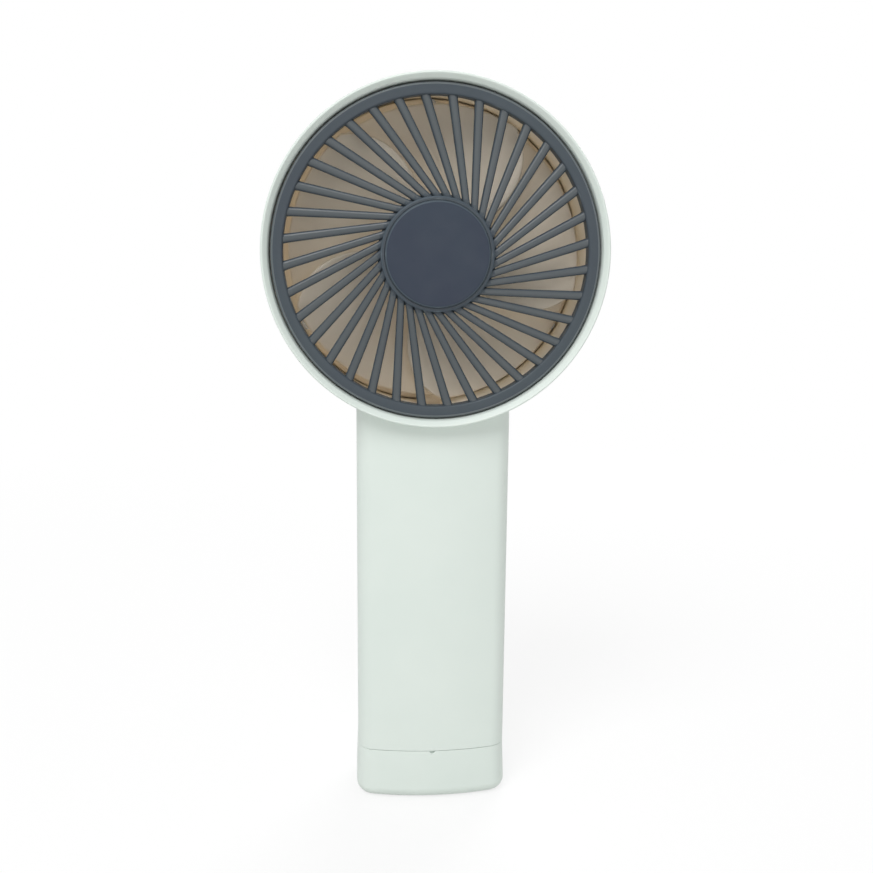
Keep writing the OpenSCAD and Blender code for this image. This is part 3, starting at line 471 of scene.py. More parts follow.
def cameraSees(tree):  # 1 for what the camera, a mirror or clear plastic shows, 0 for light on the object
    path = addNode(tree, "ShaderNodeLightPath")
    first = addNode(tree, "ShaderNodeMath", operation="MAXIMUM")
    second = addNode(tree, "ShaderNodeMath", operation="MAXIMUM")
    tree.links.new(path.outputs["Is Camera Ray"], first.inputs[0])
    tree.links.new(path.outputs["Is Glossy Ray"], first.inputs[1])
    tree.links.new(first.outputs["Value"], second.inputs[0])
    tree.links.new(path.outputs["Is Transmission Ray"], second.inputs[1])
    return second.outputs["Value"]


def litOrSeen(tree, lit, seen, output):  # one shader for light on the object, another for the camera
    either = addNode(tree, "ShaderNodeMixShader")
    tree.links.new(cameraSees(tree), either.inputs[0])
    tree.links.new(lit, either.inputs[1])
    tree.links.new(seen, either.inputs[2])
    tree.links.new(either.outputs["Shader"], tree.nodes[output].inputs["Surface"])


def makeFloor():
    clearSelection()
    bpy.ops.mesh.primitive_plane_add(size=studio["floorSize"], location=(0, 0, -studio["floorDrop"] * mm))
    floor = nameIt("floor")
    material, tree, shader = startMaterial("pale_floor")
    tree.nodes.remove(shader)
    link = tree.links.new
    bounce = addNode(tree, "ShaderNodeBsdfDiffuse", Color=studio["floorBounce"])
    paper = addNode(tree, "ShaderNodeBsdfDiffuse", Color=studio["paper"])
    glow = addNode(tree, "ShaderNodeEmission", Color=studio["white"], Strength=1)
    coords = addNode(tree, "ShaderNodeTexCoord")
    away = addNode(tree, "ShaderNodeVectorMath", operation="LENGTH")
    link(coords.outputs["Object"], away.inputs[0])
    fade = mapRange(tree, away.outputs["Value"], studio["fadeRange"], (1 - studio["shadowShare"], 1))
    shown = addNode(tree, "ShaderNodeMixShader")
    link(fade, shown.inputs[0])
    link(paper.outputs["BSDF"], shown.inputs[1])
    link(glow.outputs["Emission"], shown.inputs[2])
    litOrSeen(tree, bounce.outputs["BSDF"], shown.outputs["Shader"], "Material Output")
    floor.data.materials.append(material)


def makeWorld():
    world = bpy.data.worlds.new("studio")
    world.use_nodes = True
    scene.world = world
    tree = world.node_tree
    soft = tree.nodes["Background"]
    soft.inputs["Color"].default_value = studio["white"]
    soft.inputs["Strength"].default_value = studio["worldLight"]
    seen = addNode(tree, "ShaderNodeBackground", Color=studio["white"], Strength=1)
    litOrSeen(tree, soft.outputs["Background"], seen.outputs["Background"], "World Output")


def makeLamp(name, place, power, size, aim):
    clearSelection()
    bpy.ops.object.light_add(type="AREA", location=place)
    lamp = nameIt(name)
    lamp.data.shape = "DISK"
    lamp.data.size = size
    lamp.data.energy = power
    lamp.rotation_euler = (Vector(aim) - Vector(place)).to_track_quat("-Z", "Y").to_euler()


makeFloor()
makeWorld()
for lampValues in studio["lamps"]:
    makeLamp(*lampValues)
print("studio ready")


# drum of the head, with its lip, ledge and rear edge

drum = {
    "lipRadius": 43,
    "barrelRadius": 42.4,
    "ductRadius": 40.2,
    "pocketRadius": 41,
    "mouthRadius": 41.35,
    "mouthDepth": 3,
    "ledgeRadius": 38.6,
    "rearRadius": 36.6,
    "half": 17,
    "lipLength": 2.6,
    "lipRound": 0.45,
    "lipFall": 1.1,
    "lipStep": (0.05, 0.15),
    "crest": [(0, 0.01), (0.12, 0.07), (0.25, 0.18)],  # inwards and back from the lip's front
    "mouthEdge": [(0.2, 0.2), (0.05, 0.02), (0, -0.15)],
    "ledgeFront": 11.9,
    "ledgeBack": 10.7,
    "ledgeSlope": 1.6,
    "guardSeat": -13.4,
    "rearRound": 5,
    "innerRound": 0.4,
    "steps": 160,
    "neckWidth": 24,
    "neckDepth": 16,
    "neckBottom": 92.6,
    "neckReach": 39.5,
    "neckWall": 2,
    "neckHollow": 9,
    "neckClear": 1.8,
    "leadHole": (2.3, 8, 3.4, 41),  # radius, length, place behind and below the head's centre
    "paintEdge": 0.1,
}


def makeDrum():
    d = drum
    front, barrel = d["half"], d["barrelRadius"]
    crestR = d["lipRadius"] - d["lipRound"]
    crestW = front - d["lipRound"]
    big, small = d["rearRound"], d["innerRound"]
    lipBack = front - d["lipLength"]
    stepOut, stepRise = d["lipStep"]
    mouth, fall = d["mouthRadius"], front - d["lipFall"]
    profile = [(d["rearRadius"], d["guardSeat"])]
    profile += arc(d["rearRadius"] + small, small - front, small, 180, 270, 4)
    profile += arc(barrel - big, big - front, big, -90, 0, 14)
    profile += [(barrel, lipBack - stepRise), (barrel + stepOut, lipBack + stepRise)]
    profile += arc(crestR, crestW, d["lipRound"], -8, 72, 8)
    profile += [(crestR - r, front - w) for r, w in d["crest"]]
    profile += [(mouth + r, fall + w) for r, w in d["mouthEdge"]]
    profile += [(d["pocketRadius"], front - d["mouthDepth"]), (d["pocketRadius"], d["ledgeFront"])]
    profile += [(d["ledgeRadius"], d["ledgeFront"]), (d["ledgeRadius"], d["ledgeBack"])]
    profile += [(d["ductRadius"], d["ledgeBack"] - d["ledgeSlope"]), (d["ductRadius"], d["guardSeat"])]
    body = turned("head_drum", profile, steps=d["steps"])
    top, low = headHeight - d["neckReach"], d["neckBottom"]
    neck = addBlock("neck", (0, 0, (top + low) / 2), (d["neckWidth"], d["neckDepth"], top - low))
    openForEdit(neck)
    chooseFaces(neck, lambda face: face.normal.z < -square)
    bpy.ops.mesh.inset(thickness=d["neckWall"] * mm)
    extrude((0, 0, d["neckHollow"] * mm))
    bpy.ops.object.mode_set(mode="OBJECT")
    bore = rodY("bore", 0, headHeight, -past, past, 2 * d["ductRadius"] + d["neckClear"], d["steps"])
    combine(neck, bore, "DIFFERENCE")
    combine(body, neck, "UNION")
    radius, length, behind, below = d["leadHole"]
    clearSelection()
    bpy.ops.mesh.primitive_cylinder_add(vertices=32, radius=radius * mm, depth=length * mm,
                                        location=(0, behind * mm, headZ - below * mm))
    hole = nameIt("lead_hole")
    bpy.ops.object.transform_apply(location=True, rotation=True, scale=True)
    combine(body, hole, "DIFFERENCE")
    settle(body, "shell", "shell_white", "fan_body", "head_barrel")
    edge = d["paintEdge"]
    inner, outer = d["rearRadius"] + edge, d["ductRadius"] + edge
    paintFaces(body, "duct", inner, outer, d["guardSeat"] - edge, d["ledgeFront"])


makeDrum()


# front grille: rim, swirl spokes and hub in one moulding

grille = {
    "rimOut": 40.7,
    "rimIn": 37.7,
    "rimBack": 11.9,
    "rimFront": 15.4,
    "rimRound": 0.6,
    "rimEdge": 0.2,
    "steps": 160,
    "spokes": 36,
    "phase": 7.6,
    "offset": 8.45,
    "flare": 0.09,
    "hubRadius": 14,
    "skirt": 14.7,
    "skirtSide": [(-0.3, 0), (0, 0.2), (0, 0.4)],  # out from the skirt and up from the hub's back
    "hubFoot": [(0.1, 0.9), (0, 1.1)],
    "hubBack": 14.6,
    "hubFront": 17.7,
    "hubRound": 0.5,
    "seatRadius": 13.05,
    "seatDepth": 0.6,
    "seatEdge": 0.05,
    "spokeHub": (13.2, 16.0, 1.75),  # radius, forward distance and thickness
    "spokeRim": (39.2, 13.65, 2.3),
    # how far ahead a spoke's face must look to get the painted highlight
    "spokeHighlightFacing": 0.75,
    "paintEdge": 0.05,
    # the hub ring's brow that gets the painted highlight
    "browWidth": 0.42,
    "browTop": 0.03,
}

swell = {  # distance from an end of a spoke or rib, and the share of its flare there
    "root": [(1.2, 0.35), (2.0, 0)],
    "rim": [(2.9, 0), (2.0, 0.35), (1.4, 1), (0, 1.2)],
    "fullness": 3,
}


# a tapered round bar from one radius and depth to another, passing the axis at the offset
def swirlBar(name, start, end, offset, flare, sides=20):
    runStart = math.sqrt(start[0] ** 2 - offset ** 2)
    runEnd = math.sqrt(end[0] ** 2 - offset ** 2)
    here = Vector((runStart * mm, -start[1] * mm, headZ - offset * mm))
    there = Vector((runEnd * mm, -end[1] * mm, headZ - offset * mm))
    along = there - here
    length = along.length
    clearSelection()
    bpy.ops.mesh.primitive_circle_add(
        vertices=sides, radius=(start[2] / 2 + flare) * mm, fill_type="NGON", location=here,
        rotation=along.to_track_quat("Z", "Y").to_euler())
    bar = nameIt(name)
    full = swell["fullness"]
    for vert in bar.data.vertices:  # a moulded bar is fuller at its corners than a circle
        turn = math.atan2(vert.co.y, vert.co.x)
        vert.co /= (abs(math.cos(turn)) ** full + abs(math.sin(turn)) ** full) ** (1 / full)
    bpy.ops.object.transform_apply(location=True, rotation=True, scale=True)
    openForEdit(bar)
    whole = length / mm
    stops = swell["root"] + [(whole / 2, 0)] + [(whole - gap, extra) for gap, extra in swell["rim"]]
    before, size = 0, start[2] / 2 + flare
    for reach, extra in stops:
        share = reach * mm / length
        wanted = (start[2] + (end[2] - start[2]) * share) / 2 + extra * flare
        extrude(along * (share - before))
        ratio = wanted / size
        bpy.ops.transform.resize(value=(ratio, ratio, ratio), center_override=here + along * share)
        before, size = share, wanted
    weld()
    return bar


def makeGrille():
    g = grille
    soft, edge = g["rimRound"], g["rimEdge"]
    profile = [(g["rimIn"], g["rimBack"] + edge), (g["rimIn"] + edge, g["rimBack"])]
    profile += [(g["rimOut"] - edge, g["rimBack"]), (g["rimOut"], g["rimBack"] + edge)]
    profile += arc(g["rimOut"] - soft, g["rimFront"] - soft, soft, 0, 90, 6)
    profile += arc(g["rimIn"] + soft, g["rimFront"] - soft, soft, 90, 180, 6)
    rim = turned("grille", profile, steps=g["steps"])
    foot, top, wide, brow = g["hubBack"], g["hubFront"], g["hubRadius"], g["hubRound"]
    seat, fine, floor = g["seatRadius"], g["seatEdge"], top - g["seatDepth"]
    hubProfile = [(0, foot)] + [(g["skirt"] + r, foot + w) for r, w in g["skirtSide"]]
    hubProfile += [(wide + r, foot + w) for r, w in g["hubFoot"]]
    hubProfile += arc(wide - brow, top - brow, brow, 0, 90, 5)
    hubProfile += [(seat + fine, top), (seat, top - fine), (seat, floor), (0, floor)]
    hub = turned("hub", hubProfile)
    bar = swirlBar("spoke", g["spokeHub"], g["spokeRim"], g["offset"], g["flare"])
    bars = joinAll(aroundHead(bar, g["spokes"], g["phase"]), "spokes")
    combine(rim, bars, "UNION")
    combine(rim, hub, "UNION")
    settle(rim, "slate", "slate_grey", "fan_body", "front_grille")
    # paler outer shoulder of the rim: worn edge and painted highlight
    paintFaces(rim, "rimWearAndHighlight", g["rimOut"] - soft, g["rimOut"], g["rimFront"] - soft, g["rimFront"])
    # painted highlight: the spokes' faces that look ahead get the paler finish
    inner, outer = g["skirt"] + g["paintEdge"], g["rimIn"] - 2 * g["paintEdge"]
    paintFaces(rim, "spoke", inner, outer, g["rimBack"], top, g["spokeHighlightFacing"])
    # painted highlight on the hub ring's brow
    paintFaces(rim, "discEdgeHighlight", wide - g["browWidth"], wide, top - brow, top - g["browTop"])


hubCap = {
    "foot": [(0, 17.15), (12.7, 17.15), (12.9, 17.3), (12.9, 17.66), (12.98, 17.72)],
    "round": (12.28, 17.9, 0.7),
    "top": [(6, 18.6), (0, 18.6)],
    # faces of the disc's edge round that get the painted highlight
    "edge": (12.4, 13, 18, 18.56),
}


def makeHubCap():
    profile = hubCap["foot"] + arc(*hubCap["round"], 0, 90, 9) + hubCap["top"]
    disc = turned("hub_disc", profile)
    settle(disc, "disc", "slate_grey", "fan_body", "hub_cap")
    # painted highlight on the disc's edge round
    paintFaces(disc, "discEdgeHighlight", *hubCap["edge"])


makeGrille()
makeHubCap()


# impeller: round hub and curved blades

fan = {
    "hubRadius": 13.5,
    "hubFront": 11,
    "hubBack": -4,
    "hubRound": 3,
    "hubEdge": 0.2,
    "wall": 1.5,
    "bossRadius": 3.2,
    "bossLength": 6.2,
    "boreRadius": 1.05,
    "boreCover": 1.2,
    "sliver": 0.02,
    "blades": 5,
    "rootRadius": 12.75,
    "tipRadius": 37.3,
    "middle": 2.5,
    "wrap": 78,
    "sweep": 20,
    "rootRise": 11,
    "tipRise": 8,
    "camber": 1.4,
    "tipTaper": 0.1,
    "taperPower": 6,
    "thickness": 1.2,
    "bladeEdge": 0.4,
    "edgeAngle": 50,
    "chordSteps": 20,
    "spanSteps": 16,
}


def bladePoint(u, v):  # u along the chord, v from root to tip
    f = fan
    turn = f["sweep"] * v * v + f["wrap"] * (u - 0.5) * (1 - f["tipTaper"] * v ** f["taperPower"])
    rise = f["rootRise"] + (f["tipRise"] - f["rootRise"]) * v
    lift = f["middle"] + rise * (0.5 - u) - f["camber"] * (1 - (2 * u - 1) ** 2)
    radius = f["rootRadius"] + (f["tipRadius"] - f["rootRadius"]) * v
    a = math.radians(turn)
    return radius * math.cos(a) * mm, -lift * mm, headZ + radius * math.sin(a) * mm


def makeImpeller():
    f = fan
    clearSelection()
    bpy.ops.mesh.primitive_grid_add(x_subdivisions=f["chordSteps"], y_subdivisions=f["spanSteps"], size=1)
    blade = nameIt("blade")
    for vert in blade.data.vertices:
        vert.co = bladePoint(vert.co.x + 0.5, vert.co.y + 0.5)
    openForEdit(blade)
    weld()
    applyModifier(blade, "SOLIDIFY", thickness=f["thickness"] * mm, offset=0)
    softenEdges(blade, f["bladeEdge"], 3, f["edgeAngle"])
    blades = joinAll(aroundHead(blade, f["blades"]), "blades")
    front, wide, edge, soft = f["hubFront"], f["hubRadius"], f["hubEdge"], f["hubRound"]
    inside, ceiling = wide - f["wall"], front - f["wall"]
    boss, bore = f["bossRadius"], f["boreRadius"]
    bossBack, boreEnd = front - f["bossLength"], front - f["boreCover"]
    profile = [(0, front)] + arc(wide - soft, front - soft, soft, 90, 0, 10)
    profile += [(wide, f["hubBack"] + edge), (wide - edge, f["hubBack"]), (inside, f["hubBack"])]
    profile += [(inside, ceiling - soft), (boss, ceiling), (boss, bossBack), (bore, bossBack)]
    profile += [(bore, boreEnd), (0, boreEnd)]
    hub = turned("impeller_wheel", profile)
    combine(hub, blades, "UNION")
    dropSlivers(hub, f["sliver"])
    applyModifier(hub, "TRIANGULATE", min_vertices=5, ngon_method="BEAUTY")
    settle(hub, "sand", "sand_plastic", "rotor", "impeller")


makeImpeller()


# rear guard: rim, swirl ribs, motor plate with its cup, and the flat rib for the leads

guard = {
    "rimOut": 39.9,
    "rimIn": 36.9,
    "seat": -13.4,
    "front": -11.4,
    "ribs": 30,
    "phase": 3,
    "offset": 6,
    "ribHub": (12.7, -14.9, 1.6),
    "ribRim": (38.4, -12.4, 1.6),
    "ribFlare": 0.08,
    "ribSides": 12,
    "seatEdge": 0.25,
    "frontEdge": 0.3,
    "steps": 160,
    "plateRadius": 13.5,
    "plateBack": -15.9,
    "plateFront": -13.9,
    "plateRound": 0.7,
    "groove": [(9.2, 0), (9.5, 0.35), (10.1, 0.35), (10.4, 0)],
    "cupOut": 12,
    "cupIn": 10.5,
    "cupFront": -8.5,
    "leadRib": (5.6, 38.4, 10.5, 1.8),  # width, far end, near end and thickness
    "leadRibEdge": 0.4,
    "ribSet": 0.05,
    "paintDepth": 0.35,
}


def makeGuard():
    g = guard
    low, high = g["seatEdge"], g["frontEdge"]
    profile = [(g["rimIn"], g["seat"] + low), (g["rimIn"] + low, g["seat"]), (g["rimOut"], g["seat"])]
    profile += [(g["rimOut"], g["front"] - high), (g["rimOut"] - high, g["front"])]
    profile += [(g["rimIn"] + high, g["front"]), (g["rimIn"], g["front"] - high)]
    rim = turned("rear_guard_cage", profile, steps=g["steps"])
    base, wide, soft, face = g["plateBack"], g["plateRadius"], g["plateRound"], g["plateFront"]
    plate = [(0, base)] + [(r, base + w) for r, w in g["groove"]]
    plate += arc(wide - soft, base + soft, soft, -90, 0, 5)
    plate += [(wide, face), (g["cupOut"], face), (g["cupOut"], g["cupFront"])]
    plate += [(g["cupIn"], g["cupFront"]), (g["cupIn"], face), (0, face)]
    hub = turned("motor_plate", plate)
    bar = swirlBar("rib", g["ribHub"], g["ribRim"], g["offset"], g["ribFlare"], g["ribSides"])
    ribs = joinAll(aroundHead(bar, g["ribs"], g["phase"]), "ribs")
    width, far, near, thick = g["leadRib"]
    middle = (0, -(g["seat"] + g["ribSet"] + thick / 2), headHeight - (far + near) / 2)
    flat = addBlock("lead_rib", middle, (width, thick, far - near))
    softenEdges(flat, g["leadRibEdge"], 3)
    combine(rim, ribs, "UNION")
    combine(rim, hub, "UNION")
    combine(rim, flat, "UNION")
    settle(rim, "shell", "shell_white", "fan_body", "rear_guard")
    paintFaces(rim, "duct", g["rimIn"], g["rimOut"], g["front"] - g["paintDepth"], g["front"])


makeGuard()


# handle: two crowned half shells

grip = {
    "width": 40,
    "depth": 26,
    "crown": 72,
    "corner": 5,
    "wall": 1.8,
    "bottom": 14.2,
    "top": 125.8,
    "lowBand": 1,
    "band": 10,
    "bands": 10,
    "saddle": 42.55,
    "saddleSides": 256,
    "edge": 0.28,
    "parting": 0.2,
    "lipInset": 0.45,
    "crownSteps": 28,
    "cornerSteps": 12,
}


def gripOutline(inset, z):  # the handle's section, drawn inwards by the inset
    g = grip
    cornerX = g["width"] / 2 - g["corner"]
    crownY = g["crown"] - g["depth"] / 2
    cornerY = math.sqrt((g["crown"] - g["corner"]) ** 2 - cornerX ** 2) - crownY
    lean = math.degrees(math.asin(cornerX / (g["crown"] - g["corner"])))
    wide, tight = g["crown"] - inset, g["corner"] - inset
    many, few = g["crownSteps"], g["cornerSteps"]
    points = arc(0, crownY, wide, 270 - lean, 270 + lean, many)[:-1]
    points += arc(cornerX, -cornerY, tight, 270 + lean, 360, few)
    points += arc(cornerX, cornerY, tight, 0, 90 - lean, few)[:-1]
    points += arc(0, -crownY, wide, 90 - lean, 90 + lean, many)[:-1]
    points += arc(-cornerX, cornerY, tight, 90 + lean, 180, few)
    points += arc(-cornerX, -cornerY, tight, 180, 270 - lean, few)[:-1]
    return [(x * mm, y * mm, z * mm) for x, y in points]


def halfShell(name, keepFront):
    g = grip
    shell = drawLoop(name, gripOutline(0, g["bottom"]))
    bpy.ops.mesh.select_mode(type="FACE")
    bpy.ops.mesh.inset(thickness=g["wall"] * mm)
    bpy.ops.mesh.delete(type="FACE")
    bpy.ops.mesh.select_all(action="SELECT")
    floor = g["bottom"]
    bands = [floor + g["band"] * i for i in range(1, g["bands"] + 1)]
    levels = [floor, floor + g["lowBand"]] + bands + [g["top"]]
    for under, over in zip(levels, levels[1:]):
        extrude((0, 0, (over - under) * mm))
    bpy.ops.mesh.select_all(action="SELECT")
    plane, side = (-g["parting"], 1) if keepFront else (0, -1)
    bpy.ops.mesh.bisect(plane_co=(0, plane * mm, 0), plane_no=(0, side, 0),
                        clear_outer=True, use_fill=True)
    weld()
    return shell


def cutSaddle(shell):
    g = grip
    drumSpace = rodY("saddle", 0, headHeight, -past, past, 2 * g["saddle"], g["saddleSides"])
    combine(shell, drumSpace, "DIFFERENCE")


def makeFrontShell():
    shell = halfShell("handle_front", True)
    cutSaddle(shell)
    softenEdges(shell, grip["edge"], 3)
    openForEdit(shell)
    rear = -(grip["parting"] + slack) * mm
    chooseFaces(shell, lambda face: face.normal.y > square and face.center.y > rear)
    bpy.ops.mesh.inset(thickness=grip["lipInset"] * mm)
    extrude((0, grip["parting"] * mm, 0))
    bpy.ops.object.mode_set(mode="OBJECT")
    settle(shell, "shell", "shell_white", "fan_body", "handle_front_shell")
    evenShading(shell)


back = {
    "lowScrew": (13, 24.7, 5),  # sideways, height and seat of the head
    "highScrew": (8, 96.6, 9.7),
    "lowBoss": (0.1, 10.5),
    "highBoss": (8.1, 11.5),
    "boss": 6.2,
    "bore": 4.2,
    "pin": 2.2,
    "pinFrom": -3,
    "holeFrom": 2,
    "socketZ": 28.4,
    "recess": (13, 7, 9.16),  # width, height and floor
    "recessWall": 1.2,
    "recessTop": 11.7,
    "socket": (9.14, 3.46),
    "buttonZ": 81.5,
    "buttonHole": 11,
    "lightZ": 71.5,
    "buttonSides": 64,
    "lightHole": 2.4,
    "cuts": (22.0, 32.5, 69.7, 73.3, 75.4, 87.6, 93.9, 99.3),
}


def makeRearShell():
    b = back
    shell = halfShell("handle_rear", False)
    wide, tall, floorY = b["recess"]
    wall, inside = b["recessWall"], b["holeFrom"]
    for side in (-1, 1):
        for spot, span in (("lowScrew", "lowBoss"), ("highScrew", "highBoss")):
            x, z = b[spot][:2]
            combine(shell, rodY("boss", side * x, z, *b[span], b["boss"]), "UNION")
    roomW, roomH = wide + 2 * wall, tall + 2 * wall
    around = slotY("socket_boss", b["socketZ"], roomW, roomH, floorY - wall, b["recessTop"])
    combine(shell, around, "UNION")
    cutSaddle(shell)
    for side in (-1, 1):
        for x, z, seat in (b["lowScrew"], b["highScrew"]):
            combine(shell, rodY("pin", side * x, z, b["pinFrom"], past, b["pin"]), "DIFFERENCE")
            combine(shell, rodY("bore", side * x, z, seat, past, b["bore"]), "DIFFERENCE")
    combine(shell, slotY("recess", b["socketZ"], wide, tall, floorY, past), "DIFFERENCE")
    combine(shell, slotY("socket", b["socketZ"], *b["socket"], inside, past), "DIFFERENCE")
    button = rodY("button_hole", 0, b["buttonZ"], inside, past, b["buttonHole"], b["buttonSides"])
    combine(shell, button, "DIFFERENCE")
    combine(shell, rodY("light_hole", 0, b["lightZ"], inside, past, b["lightHole"]), "DIFFERENCE")
    openForEdit(shell)
    for z in b["cuts"]:  # short faces round the holes keep their worn edges narrow
        bpy.ops.mesh.select_all(action="SELECT")
        bpy.ops.mesh.bisect(plane_co=(0, 0, z * mm), plane_no=(0, 0, 1))
    weld()
    softenEdges(shell, grip["edge"], 3)
    settle(shell, "shell", "shell_white", "fan_body", "handle_rear_shell")
    evenShading(shell)


makeFrontShell()
makeRearShell()


# base cap with its round bottom edge, spigot and fingernail notch

cap = {
    "height": 14.05,
    "topBand": 1,
    "flare": 0.4,
    "round": 3.2,
    "roundSteps": 9,
    "floor": 2.2,
    "gap": 2.0,
    "spigotWall": 1.4,
    "spigot": 5.85,
    "notch": 1.4,
    "notchDepth": 0.9,
    "sliver": 0.01,
}


def makeCap():
    c = cap
    obj = drawLoop("base_cover", gripOutline(-c["flare"], 0))
    bpy.ops.mesh.select_mode(type="FACE")
    extrude((0, 0, c["round"] * mm))
    halfW, halfD = grip["width"] / 2, grip["depth"] / 2
    before, extra = c["round"], c["flare"]
    for z in (c["height"] - c["topBand"], c["height"]):
        left = c["flare"] * (c["height"] - z) / (c["height"] - c["round"])
        extrude((0, 0, (z - before) * mm))
        narrower = ((halfW + left) / (halfW + extra), (halfD + left) / (halfD + extra), 1)
        bpy.ops.transform.resize(value=narrower, center_override=(0, 0, z * mm))
        before, extra = z, left
    bpy.ops.mesh.inset(thickness=c["gap"] * mm)
    extrude((0, 0, c["spigot"] * mm))
    bpy.ops.mesh.inset(thickness=c["spigotWall"] * mm)
    extrude((0, 0, (c["floor"] - c["height"] - c["spigot"]) * mm))
    chooseFaces(obj, lambda face: abs(face.normal.z) > square and face.center.z < slack * mm)
    bpy.ops.mesh.region_to_loop()
    bpy.ops.mesh.bevel(offset=c["round"] * mm, segments=c["roundSteps"], affect="EDGES",
                       clamp_overlap=False)
    weld()
    combine(obj, rodY("notch", 0, c["height"], -past, c["notchDepth"] - halfD, c["notch"]), "DIFFERENCE")
    softenEdges(obj, grip["edge"], 3)
    dropSlivers(obj, c["sliver"])
    settle(obj, "shell", "shell_white", "cap", "base_cap")
    evenShading(obj)


makeCap()


# power button on the back

press = {
    "stem": [(0, 7.26), (1.6, 7.26), (1.6, 9.85)],
    "flange": [(6.45, 9.85), (6.45, 10.65), (6.35, 10.75), (5.25, 10.75)],
    "round": (4.65, 13.3, 0.6),
    "dish": [(4.3, 13.86), (3.4, 13.74), (1.8, 13.63), (0, 13.6)],
    "steps": 96,
}


def makeButton():
    profile = press["stem"] + press["flange"] + arc(*press["round"], 0, 90, 6) + press["dish"]
    button = turned("press_button", profile, (0, 0, back["buttonZ"] * mm), 1, press["steps"])
    settle(button, "slate", "slate_grey", "button", "power_button")


makeButton()


# cross-head screws, modelled once and copied

screw = {
    "shank": 1.0,
    "root": 0.78,  # the thread's root as a share of the shank
    "length": 10,
    "tip": (0.3, 0.4),
    "threadFrom": 0.8,
    "plain": 1.2,
    "neck": 0.3,
    "pitch": 0.8,
    "head": 1.8,
    "headHeight": 1.3,
    "headEdge": 0.12,
    "headRound": 0.9,
    "cross": (2.16, 0.5, 0.8),
    "crossClear": 0.1,
    "steps": 32,
    "sliver": 0.01,
}


def makeScrew():
    s = screw
    point, root, edge, soft = -s["length"], s["root"] * s["shank"], s["headEdge"], s["headRound"]
    tipR, tipW = s["tip"]
    profile = [(0, point), (tipR, tipW + point)]
    for i in range(int((s["length"] - s["plain"]) / s["pitch"])):
        w = s["threadFrom"] + point + i * s["pitch"]
        profile += [(root, w), (s["shank"], w + s["pitch"] / 2)]
    profile += [(root, -s["neck"]), (root, 0), (s["head"] - edge, 0), (s["head"], edge)]
    profile += arc(s["head"] - soft, s["headHeight"] - soft, soft, 0, 80, 6) + [(0, s["headHeight"])]
    made = turned("screw", profile, (0, 0, 0), 1, s["steps"])
    long, thin, deep = s["cross"]
    middle = (0, s["headHeight"] - deep / 2 + s["crossClear"], 0)
    for wide, tall in ((long, thin), (thin, long)):
        slot = addBlock("cross_slot", middle, (wide, deep + 2 * s["crossClear"], tall))
        combine(made, slot, "DIFFERENCE")
    dropSlivers(made, s["sliver"])
    return made


def makeHandleScrews():
    first = makeScrew()
    places = []
    for side in (-1, 1):
        for x, z, seat in (back["lowScrew"], back["highScrew"]):
            places.append(Matrix.Translation((side * x * mm, seat * mm, z * mm)))
    screws = [copyOf(first, place) for place in places]
    bpy.data.objects.remove(first)
    fasteners = joinAll(screws, "handle_fasteners")
    settle(fasteners, "steel", "steel", "fan_body", "handle_screws")


makeHandleScrews()


# charging socket: folded shell, tongue and contacts

socket = {
    "width": 8.94,
    "height": 3.26,
    "wall": 0.3,
    "edge": 0.08,
    "back": 3.16,
    "mouth": 9.46,
    "tongue": (6.7, 0.7, 8.66),  # width, height and tip
    "tongueRoot": 0.2,
    "tongueEdge": 0.18,
    "plug": 1.4,
    "plugFit": 0.06,
    "contacts": 10,
    "pitch": 0.55,
    "pad": (0.28, 3, 0.08),
    "padSet": 2.1,
    "padEdge": 0.02,
}


def makeSocket():
    s = socket
    z, rear = back["socketZ"], s["back"]
    shell = drawLoop("socket_shell", slotPoints(z, s["width"], s["height"], rear))
    bpy.ops.mesh.select_mode(type="FACE")
    bpy.ops.mesh.inset(thickness=s["wall"] * mm)
    bpy.ops.mesh.delete(type="FACE")
    bpy.ops.mesh.select_all(action="SELECT")
    extrude((0, (s["mouth"] - rear) * mm, 0))
    weld()
    softenEdges(shell, s["edge"], 2)
    settle(shell, "steel", "steel", "fan_body", "usb_shell")
    less = 2 * s["wall"] + s["plugFit"]
    plug = slotY("socket_tongue", z, s["width"] - less, s["height"] - less, rear, rear + s["plug"])
    wide, tall, tip = s["tongue"]
    root = s["tongueRoot"]
    tongue = addBlock("tongue", (0, (rear + root + tip) / 2, z), (wide, tip - rear - root, tall))
    softenEdges(tongue, s["tongueEdge"], 3)
    combine(plug, tongue, "UNION")
    settle(plug, "black", "black_plastic", "fan_body", "usb_tongue")
    pads = []
    for i in range(s["contacts"]):
        for side in (-1, 1):
            x = (i - (s["contacts"] - 1) / 2) * s["pitch"]
            pad = addBlock("contact", (x, tip - s["padSet"], z + side * tall / 2), s["pad"])
            softenEdges(pad, s["padEdge"], 2)
            pads.append(pad)
    contacts = joinAll(pads, "socket_contacts")
    settle(contacts, "gold", "bronze", "fan_body")


makeSocket()


# light pipe of the charge light, with a domed end

lightPipe = {
    "body": [(0, 4.06), (1.1, 4.06), (1.1, 9.96), (1.9, 9.96), (1.9, 11.06), (1.1, 11.06)],
    "dome": [(1.1, 12.6), (0.95, 12.8), (0.6, 12.95), (0, 13)],
    "steps": 48,
}


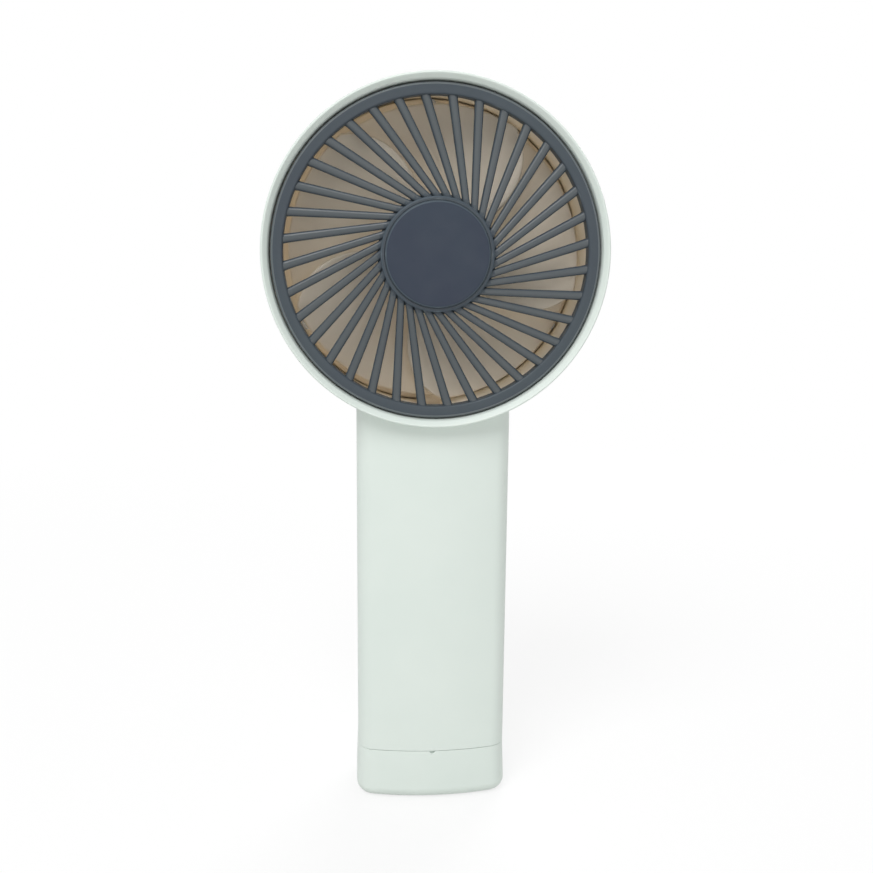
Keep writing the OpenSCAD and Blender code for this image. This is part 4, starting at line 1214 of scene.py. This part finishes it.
def makeLightPipe():
    profile = lightPipe["body"] + lightPipe["dome"]
    pipe = turned("charge_light_pipe", profile, (0, 0, back["lightZ"] * mm), 1, lightPipe["steps"])
    settle(pipe, "clear", "clear_plastic", "fan_body", "light_pipe")


makeLightPipe()


# cover over the motor's leads where they cross the duct's floor

cover = {
    "width": 5.4,
    "wall": 0.5,
    "edge": 0.35,
    "edgeAngle": 30,
    "outside": [(11.7, 118), (9.8, 117.2), (9.0, 115.5), (8.8, 113), (7.7, 111.3),
                (5.2, 110.05), (3.0, 109.45), (2.4, 108.8), (2.2, 106.4), (11.7, 106.4)],
    "inside": [(12.5, 117.4), (10.1, 116.6), (9.6, 115.3), (9.4, 113.2), (8.2, 110.9),
               (5.5, 109.45), (3.2, 108.9), (2.75, 108.4), (2.7, 105), (12.5, 105)],
}


def leadChannel(name, points, width):
    obj = drawLoop(name, [(-width / 2 * mm, y * mm, z * mm) for y, z in points])
    extrude((width * mm, 0, 0))
    weld()
    return obj


def makeLeadCover():
    c = cover
    shell = leadChannel("lead_cover", c["outside"], c["width"])
    softenEdges(shell, c["edge"], 3, c["edgeAngle"])
    combine(shell, leadChannel("hollow", c["inside"], c["width"] - 2 * c["wall"]), "DIFFERENCE")
    settle(shell, "duct", "sand_plastic", "fan_body")


makeLeadCover()


# the CAD nodes that stay, each with its own finish

kept = {
    "steel": ["guard_screws", "board_screws", "motor_can", "motor_shaft", "armature_core"],
    "black": ["motor_end_bell", "board_chips", "switch_body"],
    "bronze": ["front_bushing", "rear_bushing"],
    "copper": ["armature_windings", "commutator"],
    "ferrite": ["motor_magnets", "motor_brushes"],
    "foil": ["battery"],
    "foam": ["battery_pad"],
    "board": ["circuit_board"],
    "ivory": ["switch_plunger"],
    "lamp": ["charge_led"],
    "redLead": ["motor_lead_red", "battery_lead_red"],
    "blackLead": ["motor_lead_black", "battery_lead_black"],
}
for look, names in kept.items():
    for name in names:
        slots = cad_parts[name].data.materials
        slots.clear()
        slots.append(finish[look])
print("kept nodes dressed")

clearSelection()
